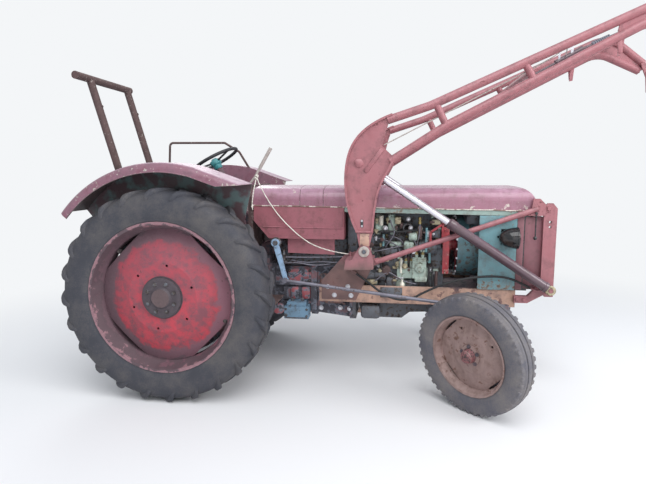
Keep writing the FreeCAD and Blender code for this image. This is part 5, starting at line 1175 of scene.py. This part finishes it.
smooth_line("engine_steel_pipes", steel_runs, 0.0042, rod_steel)
dark_runs = [
    [(1.790, -0.236, 0.882), (1.792, -0.248, 0.820), (1.786, -0.244, 0.770), (1.800, -0.232, 0.726)],
    [(1.820, -0.226, 0.882), (1.814, -0.240, 0.830), (1.822, -0.240, 0.770), (1.816, -0.232, 0.726)],
    [(1.285, -0.180, 1.135), (1.340, -0.236, 1.110), (1.450, -0.232, 1.140), (1.560, -0.236, 1.128),
     (1.700, -0.226, 1.150), (1.830, -0.206, 1.130)],
    [(1.296, -0.236, 0.700), (1.370, -0.248, 0.716), (1.470, -0.240, 0.690), (1.590, -0.268, 0.700),
     (1.700, -0.252, 0.716), (1.830, -0.240, 0.690)],
    [(1.400, -0.236, 0.990), (1.420, -0.244, 0.920), (1.450, -0.246, 0.880), (1.440, -0.238, 0.800)],
    [(1.230, -0.260, 0.900), (1.290, -0.270, 0.930), (1.350, -0.262, 0.900), (1.420, -0.250, 0.860)],
]
smooth_line("engine_black_hoses", dark_runs, 0.0075, hose_rubber)
rod_runs = [
    [(0.700, -0.262, 0.930), (0.860, -0.264, 0.931), (1.020, -0.266, 0.936), (1.215, -0.268, 0.944)],
    [(0.760, -0.240, 0.905), (0.870, -0.248, 0.884), (0.980, -0.250, 0.902), (1.120, -0.250, 0.890),
     (1.260, -0.240, 0.910)],
    [(0.700, -0.250, 0.880), (0.800, -0.262, 0.896), (0.940, -0.262, 0.864), (1.060, -0.240, 0.880)],
]
smooth_line("control_rods", rod_runs, 0.005, rod_steel)
print("pipe runs", len(steel_runs) + len(dark_runs) + len(rod_runs))

# %% [markdown]
# Two red parts stand out of the dark beside the fan: the bracket of the generator, made
# of flat bar, and the upright guard ahead of the belt.

# %% Red brackets
build = bmesh.new()
strap(build, (1.796, -0.236, 1.132), (1.888, -0.236, 1.196), 0.016, 0.010)
strap(build, (1.798, -0.236, 1.052), (1.798, -0.236, 1.140), 0.016, 0.010)
strap(build, (1.798, -0.236, 1.060), (1.884, -0.236, 1.072), 0.014, 0.010)
strap(build, (1.884, -0.236, 1.060), (1.884, -0.236, 1.200), 0.016, 0.010)
for x in (1.800, 1.882):
    block(build, (x - 0.008, -0.236, 1.060), (x + 0.008, -0.150, 1.080), edge=0.002)
strap(build, (1.911, -0.224, 0.826), (1.911, -0.224, 1.170), 0.046, 0.008)
block(build, (1.892, -0.224, 0.826), (1.930, -0.160, 0.840), edge=0.003)
block(build, (1.892, -0.224, 1.150), (1.930, -0.100, 1.164), edge=0.003)
for z in (0.850, 1.148):
    bolt(build, (1.911, -0.228, z), RIGHT, flats=0.014)
keep("red_brackets", build, bright_red)

# %% [markdown]
# The gearbox side has bolted covers that have kept their red between blue-grey iron and
# oil. Each is a bevelled plate with a rib or a boss.

# %% Gearbox covers
build = bmesh.new()
blocks(build, (((0.726, -0.216, 0.729), (0.912, -0.170, 0.834), 0.016),
               ((0.748, -0.219, 0.594), (0.812, -0.190, 0.690), 0.010),
               ((0.834, -0.222, 0.596), (0.900, -0.170, 0.690), 0.012)))
boss(build, (0.868, -0.212, 0.786), RIGHT, (0.030, 0.012), (0.022, 0.018))
lathe(build, [(0, 0), (0.040, 0), (0.043, 0.008), (0.043, 0.022), (0.036, 0.030), (0.016, 0.032), (0, 0.032)],
      (0.674, -0.296, 0.541), RIGHT)
strap(build, (0.736, -0.216, 0.744), (0.836, -0.216, 0.820), 0.016, 0.014)
keep("gearbox_red_covers", build, oily_red)
build = bmesh.new()
block(build, (1.012, -0.200, 0.566), (1.148, -0.180, 0.654), edge=0.008)
block(build, (0.972, -0.204, 0.700), (1.180, -0.170, 0.800), edge=0.022)
strap(build, (0.990, -0.196, 0.690), (1.170, -0.196, 0.560), 0.014, 0.016)
keep("clutch_cover", build, brown_cover)

# %% Gearbox and valve fittings
build = bmesh.new()
for x in (0.740, 0.898):
    for z in (0.745, 0.820):
        bolt(build, (x, -0.215, z), RIGHT, flats=0.016)
for x in (0.726, 0.887):
    for z in (0.484, 0.536):
        bolt(build, (x, -0.299, z), RIGHT, flats=0.013, height=0.009)
block(build, (0.722, -0.310, 0.468), (0.890, -0.298, 0.474), edge=0.002)
for x in (0.770, 0.846):
    boss(build, (x, -0.250, 0.588), UP, (0.014, 0.020), (0.010, 0.024), steps=6)
lathe(build, [(0, 0), (0.036, 0), (0.040, 0.006), (0.040, 0.020), (0.034, 0.026), (0.020, 0.028),
              (0.018, 0.040), (0, 0.040)], (0.668, -0.338, 1.052), RIGHT)
lathe(build, [(0, 0), (0.008, 0), (0.008, 0.012), (0.012, 0.014), (0.012, 0.026), (0.007, 0.028),
              (0.007, 0.050), (0.012, 0.052), (0.012, 0.066), (0.007, 0.068), (0.007, 0.094), (0, 0.095)],
      (0.716, -0.300, 0.900), UP, steps=12)
block(build, (0.700, -0.306, 0.890), (0.732, -0.180, 0.902))
keep("gearbox_fittings", build, engine_iron)

# %% [markdown]
# The bonnet's lower edge is rolled over a wire, and decades of knocks have left it wavy
# and chipped to pale primer. A thin tube along the edge gives both.

# %% Bonnet edge
BONNET_SIDE = 0.3095


def bonnet_rim(x):
    """Height of the edge: it falls 26 mm over the bonnet's length, with small dents."""
    level = 1.322 - 0.026 * (x - 0.480) / 2.032
    return level + 0.0022 * math.sin(9.0 * x) * math.sin(23.0 * x + 1.0)


edge_runs = []
for side in (-1, 1):
    for start, end in ((0.482, 0.840), (0.847, 1.013), (1.020, 2.440)):
        # a point about every 60 mm
        steps = max(3, round((end - start) / 0.06))
        xs = [start + (end - start) * n / steps for n in range(steps + 1)]
        edge_runs.append([(x, side * BONNET_SIDE, bonnet_rim(x) + 0.002) for x in xs])
smooth_line("bonnet_rolled_edge", edge_runs, 0.0045, primer_edge)
print("edge runs", len(edge_runs))

# %% [markdown]
# A bead is pressed along each side of the tank to stiffen it. On the sheet it is a ridge;
# here a thin tube lies half in the sheet, which looks the same. A strip and a post close
# each side of the nose behind the loader's frame.

# %% Tank beads and side strips
bead = [(0.557, 1.164), (0.860, 1.161), (1.140, 1.159), (1.160, 1.160), (1.166, 1.185), (1.167, 1.290)]
bead_runs = [[(x, side * BONNET_SIDE, z) for x, z in bead] for side in (-1, 1)]
smooth_line("tank_beads", bead_runs, 0.0042, tank_enamel)
build = bmesh.new()
for side in (-1, 1):
    side_block(build, side, (2.388, 0.3045, 0.740), (2.432, 0.3075, 1.262), edge=0.001)
    side_block(build, side, (2.433, 0.250, 0.742), (2.560, 0.309, 1.262), edge=0.014)
keep("grille_side_strips", build, nose_enamel)

# %% [markdown]
# The mudguards' edges are rolled over a wire too, and rivets hold the wall to the sheet.
# Both follow the guard's arc about the axle, so both are placed by angle.

# %% Mudguard edges
LIP_RADIUS, LIP_Y = 0.8375, 0.870
SHEET_RADIUS, WALL_Y = 0.872, 0.549


def guard_arc(radius, y, start, stop, step):
    """Places along a mudguard's arc, by degrees from the front upwards."""
    for degrees in range(start, stop, step):
        angle = math.radians(degrees)
        yield (radius * math.cos(angle), y, AXLE_HEIGHT + radius * math.sin(angle))


guard_runs = [list(guard_arc(LIP_RADIUS, side * LIP_Y, 141, 74, -6)) for side in (-1, 1)]
smooth_line("mudguard_rolled_edges", guard_runs, 0.0045, guard_enamel)
build = bmesh.new()
for side in (-1, 1):
    for at in guard_arc(SHEET_RADIUS, side * WALL_Y, 136, 76, -9):
        lathe(build, [(0, 0), (0.008, 0), (0.007, 0.003), (0, 0.005)], at, (0, -side, 0), steps=10)
keep("mudguard_rivets", build, guard_enamel)

# %% [markdown]
# Loader: the knee carries a welded strap, a round boss and a latch; the tongue below has
# a wear plate; each pin ends in a collar.

# %% Knee fittings
KNEE_FACE = 0.482
for side, label in SIDES:
    out = (0, side, 0)
    face = side * KNEE_FACE
    proud = side * (KNEE_FACE + 0.001)
    build = bmesh.new()
    strap(build, (1.333, face, 1.569), (1.448, face, 1.724), 0.030, 0.012)
    lathe(build, [(0, 0), (0.024, 0), (0.022, 0.008), (0.013, 0.013), (0, 0.014)], (1.281, face, 1.633), out)
    strap(build, (1.268, side * 0.486, 1.157), (1.392, side * 0.486, 1.157), 0.012, 0.022)
    boss(build, (1.290, face, 1.628), out, (0.030, 0.006), (0.024, 0.010))
    strap(build, (2.900, side * 0.478, 2.395), (2.912, side * 0.478, 2.300), 0.024, 0.008)
    keep("knee_fittings_" + label, build, loader_paint, "boom")
    build = bmesh.new()
    strap(build, (1.334, side * 0.4835, 1.144), (1.331, side * 0.4835, 1.058), 0.066, 0.005)
    keep("tongue_wear_plate_" + label, build, rusted_steel, "boom")
    build = bmesh.new()
    # a thin black strap paints the shade in the latch's open slot
    strap(build, (1.313, proud, 1.240), (1.313, proud, 1.188), 0.020, 0.004)
    keep("knee_latch_slot_shade_" + label, build, black_enamel, "boom")
    build = bmesh.new()
    # the latch's bright plated bolts, which also paint the latch's highlights
    for z in (1.233, 1.196):
        bolt(build, (1.313, side * 0.485, z), out, flats=0.010, height=0.007)
    keep("knee_latch_" + label, build, plated_steel, "boom")

# %% Pivot collars, pin ends and eye rings
for side, label in SIDES:
    out = (0, side, 0)
    build = bmesh.new()
    lathe(build, [(0.0165, 0), (0.038, 0), (0.038, 0.007), (0.034, 0.010), (0.0165, 0.010), (0.0165, 0)],
          (1.330, side * 0.501, 1.020), out, steps=32)
    keep("pivot_collar_" + label, build, bone_paint)
    build = bmesh.new()
    boss(build, (1.330, side * 0.498, 1.020), out, (0.015, 0.018), (0.012, 0.021))
    boss(build, (1.250, side * 0.313, 0.930), out, (0.024, 0.008), (0.018, 0.012))
    keep("pivot_pin_ends_" + label, build, engine_iron)
    build = bmesh.new()
    lathe(build, [(0.016, 0), (0.035, 0), (0.035, 0.006), (0.031, 0.010), (0.016, 0.010), (0.016, 0)],
          (2.600, side * 0.414, 0.762), out, steps=32)
    keep("cylinder_eye_ring_" + label, build, cream_paint, "lift_barrel_" + label)

# %% [markdown]
# A lift cylinder's tube has a welded foot ring, a screwed gland ring at the mouth and a
# port for the hose. All three are turned about the line from the lower eye to the upper one.

# %% Cylinder rings and tip pins
LOWER_EYE, UPPER_EYE = Vector((2.600, 0.0, 0.762)), Vector((1.290, 0.0, 1.628))
CYLINDER_Y = 0.395
CYLINDER_LINE = (UPPER_EYE - LOWER_EYE).normalized()
BORE = 0.030
foot_ring = [(0.0335, 0), (0.0375, 0.002), (0.0375, 0.022), (0.0335, 0.026)]
gland_ring = [(0.0335, 0), (0.037, 0.002), (0.037, 0.040), (0.0385, 0.042), (0.0385, 0.052), (0.030, 0.056)]
for side, label in SIDES:
    eye = LOWER_EYE + Vector((0, side * CYLINDER_Y, 0))
    build = bmesh.new()
    for start, profile in ((0.026, foot_ring), (0.770, gland_ring)):
        ring = [(BORE, profile[0][1])] + profile + [(BORE, profile[-1][1]), (BORE, profile[0][1])]
        lathe(build, ring, eye + CYLINDER_LINE * start, CYLINDER_LINE, steps=32)
    lathe(build, [(0, 0.028), (0.013, 0.028), (0.013, 0.048), (0.009, 0.052), (0, 0.052)],
          eye + CYLINDER_LINE * 0.075, (0, -side, 0), steps=6)
    keep("barrel_rings_" + label, build, barrel_paint, "lift_barrel_" + label)
    build = bmesh.new()
    bolt(build, (3.440, side * 0.4995, 2.375), (0, side, 0), flats=0.026, height=0.014)
    keep("tip_pin_heads_" + label, build, plated_steel, "tool_carrier")

# %% [markdown]
# The driver trips the tool carrier from the seat: a wire runs up the right arm and over to
# a latch rod with its spring. The spring's coils touch, so a lathe profile with a crest for
# each coil looks the same as a helix and stays light.

# %% Trip wire, spring and links
wire_runs = [[(1.457, -0.454, 1.751), (1.800, -0.452, 1.924), (2.150, -0.448, 2.101), (2.503, -0.440, 2.279),
              (2.600, -0.330, 2.352), (2.701, -0.160, 2.420), (2.740, 0.040, 2.404)]]
smooth_line("trip_wire", wire_runs, 0.004, bone_paint, body="boom")
COILS, COIL_PITCH = 9, 0.014
CREST, VALLEY = 0.0235, 0.018
profile = [(0, -0.004), (VALLEY, -0.004)]
for number in range(COILS):
    start = number * COIL_PITCH
    profile += [(CREST, start + 0.003), (CREST, start + 0.009), (VALLEY, start + 0.0125)]
build = bmesh.new()
lathe(build, profile + [(0, COILS * COIL_PITCH)], Vector((2.926, 0.060, 2.4726)), (0.280, 0, 0.120))
keep("latch_spring", build, rod_steel, "boom")
build = bmesh.new()
strap(build, (2.790, 0.044, 2.492), (2.782, 0.044, 2.400), 0.016, 0.006)
strap(build, (2.700, 0.046, 2.372), (2.700, 0.046, 2.440), 0.014, 0.006)
keep("latch_links", build, plated_steel, "boom")

# %% [markdown]
# The loader's front frame has a lynch pin hanging on each side and bolts in its posts.

# %% Front frame fittings
build = bmesh.new()
for side in (-1, 1):
    lathe(build, [(0, 0), (0.0045, 0), (0.0045, 0.150), (0, 0.150)], (2.498, side * 0.350, 1.125), UP,
          steps=10)
    lathe(build, [(0, 0), (0.007, 0.002), (0.012, 0.010), (0.012, 0.018), (0.007, 0.026), (0, 0.028)],
          (2.498, side * 0.350, 1.100), UP)
    lathe(build, [(0, 0), (0.010, 0), (0.010, 0.016), (0, 0.018)], (2.498, side * 0.344, 1.285), (0, side, 0))
keep("lynch_pins", build, black_enamel)
build = bmesh.new()
for side in (-1, 1):
    for x, z, flats, height in ((2.580, 1.318, 0.026, 0.016), (2.596, 0.760, 0.026, 0.016),
                                (2.400, 0.675, 0.019, 0.012), (2.445, 0.675, 0.019, 0.012)):
        bolt(build, (x, side * 0.336, z), (0, side, 0), flats, height)
keep("front_frame_bolts", build, loader_paint)

# %% [markdown]
# The driver's controls: two gear levers with round knobs, brake pedals on the right and
# the clutch pedal on the left, and three dials on the dash.

# %% Levers and pedals
build = bmesh.new()
knobs = bmesh.new()
for foot, head in ((Vector((0.395, 0.110, 0.925)), Vector((0.330, 0.130, 1.190))),
                   (Vector((0.395, -0.100, 0.925)), Vector((0.350, -0.120, 1.120)))):
    reach = (head - foot).length
    lathe(build, [(0, 0), (0.022, 0), (0.018, 0.020), (0.008, 0.034), (0.007, reach), (0, reach)], foot,
          head - foot, steps=16)
    lathe(knobs, [(0, -0.018), (0.010, -0.016), (0.021, -0.004), (0.023, 0.008), (0.016, 0.022), (0, 0.027)],
          head, head - foot)
for y in (-0.214, -0.300, 0.300):
    side = math.copysign(1, y)
    strap(build, (0.470, y, 0.900), (0.560, y, 0.700), 0.022, 0.010)
    side_block(build, side, (0.548, 0.170, 0.690), (0.572, abs(y), 0.712), edge=0.004)
    # four ribs across the pedal's pad
    for n in range(4):
        block(build, (0.452 + 0.006 * n, y - 0.038, 0.880 + 0.014 * n),
              (0.462 + 0.006 * n, y + 0.038, 0.890 + 0.014 * n), edge=0.002)
    strap(build, (0.452, y, 0.876), (0.482, y, 0.940), 0.076, 0.007, face=(-1, 0, 0.45))
keep("levers_and_pedals", build, rod_steel)
keep("lever_knobs", knobs, black_plastic)

# %% Dials
# the dash leans a little away from the driver
DASH_AXIS = (-1, 0, 0.065)
build = bmesh.new()
glass = bmesh.new()
for y, radius in ((-0.110, 0.040), (0.0, 0.046), (0.110, 0.040)):
    at, inner = (0.4035, y, 1.372), radius - 0.006
    lathe(build, [(inner, 0), (radius, 0), (radius, 0.012), (radius - 0.004, 0.016), (inner, 0.014),
                  (inner, 0)], at, DASH_AXIS, steps=32)
    lathe(glass, [(0, 0), (inner, 0), (inner, 0.008), (0, 0.010)], at, DASH_AXIS, steps=32)
keep("dial_rims", build, plated_steel)
keep("dial_glasses", glass, lamp_glass)

# %% [markdown]
# Last, small things on the rope and at the back: the knots at the rope's ends, and the
# shaft stub and bolts of the rear covers.

# %% Knots
build = bmesh.new()
tip = Vector(ROPE_TAIL[-1]) * MM
lathe(build, [(0, 0), (0.005, 0.001), (0.0085, 0.006), (0.007, 0.010), (0.009, 0.015), (0.006, 0.021),
              (0, 0.023)], tip + Vector((0, 0, 0.010)), (0, 0, -1), steps=14)
lathe(build, [(0, 0), (0.004, 0.0), (0.005, 0.012), (0.001, 0.020), (0, 0.020)],
      tip + Vector((0.001, 0, -0.010)), (0.1, 0, -1), steps=10)
tail_knot = keep("rope_end_knot", build, rope_fibre)
ROPE_RADIUS = 0.0038
build = bmesh.new()
# two knots, each of three turns that lie in three directions
for centre, radius in (((0.520, -0.303, 1.540), 0.0105), ((0.512, -0.299, 1.524), 0.010)):
    ring = [(radius + ROPE_RADIUS * math.cos(math.tau * n / 8), ROPE_RADIUS * math.sin(math.tau * n / 8))
            for n in range(9)]
    for tilt in ((0.3, 0.2, 1), (1, 0.3, 0.4), (-0.5, 1, 0.6)):
        lathe(build, ring, centre, tilt, steps=16)
lever_knot = keep("rope_lever_knot", build, rope_fibre)

# %% Rear fittings
SHAFT_HEIGHT = 0.640
build = bmesh.new()
for at in circle((-0.277, 0, SHAFT_HEIGHT), (0, 1, 0), 0.112, 8, first=0.5):
    bolt(build, at, (-1, 0, 0))
lathe(build, [(0, 0), (0.024, 0), (0.024, 0.012), (0.0175, 0.014), (0.0175, 0.064), (0.015, 0.068),
              (0, 0.068)], (-0.308, 0, SHAFT_HEIGHT), (-1, 0, 0), steps=12)
for side in (-1, 1):
    for z in (0.560, 0.830):
        for y in (0.060, 0.150):
            bolt(build, (-0.280, side * y, z), (-1, 0, 0))
    for at in circle((0, side * 0.224, AXLE_HEIGHT), (1, 0, 0), 0.147, 8):
        bolt(build, at, (0, side, 0))
keep("rear_case_bolts", build, casting)

# %% [markdown]
# The hose is medium stiff, the rope is limp, and its loose end stops in a knot.

# %% [markdown]
# The floor is plain and pale, and melts into the white background some metres away, so
# that no horizon shows. A large soft lamp stands above, a smaller one in front, a weak one
# low down and one behind, as in a photographer's studio.

# %% Floor, light and background
floor_mesh = bpy.data.meshes.new("floor")
build = bmesh.new()
bmesh.ops.create_circle(build, cap_ends=True, segments=64, radius=26.0)
build.to_mesh(floor_mesh)
build.free()
floor = bpy.data.objects.new("floor", floor_mesh)
bpy.context.scene.collection.objects.link(floor)
floor_finish, add, shader, point = new_finish("pale_floor")
feed(shader, {"Base Color": "#ececee", "Roughness": 0.9})
# between these distances from the middle, in metres, the floor gives way to the background
FADE_START, FADE_END = 2.6, 5.4
distance = add("VectorMath", {0: point.outputs["Object"]}, operation="LENGTH")
fade_out = add("MapRange", {0: distance, 1: FADE_START, 2: FADE_END, 3: 0.0, 4: 1.0},
               interpolation_type="SMOOTHSTEP")
ray = add("LightPath")
seen = add("Math", {0: ray.outputs["Is Camera Ray"], 1: fade_out}, operation="MULTIPLY")
glow = add("Emission", {"Color": "#f4f6f8", "Strength": 1.0})
melt = add("MixShader", {0: seen, 1: shader, 2: glow})
feed(floor_finish.node_tree.nodes["Material Output"], {0: melt})
floor_mesh.materials.append(floor_finish)

# %% Background
# rays that bounce get a soft grey, and the camera, mirrors and glass see near white
world = bpy.data.worlds.new("studio")
bpy.context.scene.world = world
world.use_nodes = True
world.node_tree.nodes.clear()
add = partial(node, world.node_tree)
ray = add("LightPath")
seen = add("Math", {0: ray.outputs["Is Camera Ray"], 1: ray.outputs["Is Glossy Ray"]}, operation="MAXIMUM")
seen = add("Math", {0: seen, 1: ray.outputs["Is Transmission Ray"]}, operation="MAXIMUM")
plain = add("Background", {"Color": "#e4ebf2", "Strength": 0.63})
white = add("Background", {"Color": "#f4f6f8", "Strength": 1.0})
both = add("MixShader", {0: seen, 1: plain, 2: white})
add("OutputWorld", {0: both})

# %% Lamps
for name, place_at, aim, size, power in (("sky_lamp", (1.0, -5.0, 7.0), (0, 0, 0.8), 6.0, 420.0),
                                         ("front_lamp", (6.0, -3.0, 3.5), (0, 0, 0.9), 3.0, 230.0),
                                         ("low_lamp", (1.5, -6.0, 1.0), (0, 0, 0.6), 4.0, 45.0),
                                         ("back_lamp", (-4.0, 6.0, 5.0), (0, 0, 0.9), 4.0, 140.0)):
    lamp = bpy.data.lights.new(name, "AREA")
    lamp.size = size
    lamp.energy = power
    holder = bpy.data.objects.new(name, lamp)
    holder.location = place_at
    holder.rotation_euler = (Vector(aim) - Vector(place_at)).to_track_quat("-Z", "Y").to_euler()
    bpy.context.scene.collection.objects.link(holder)
bpy.context.scene.view_settings.view_transform = "Standard"
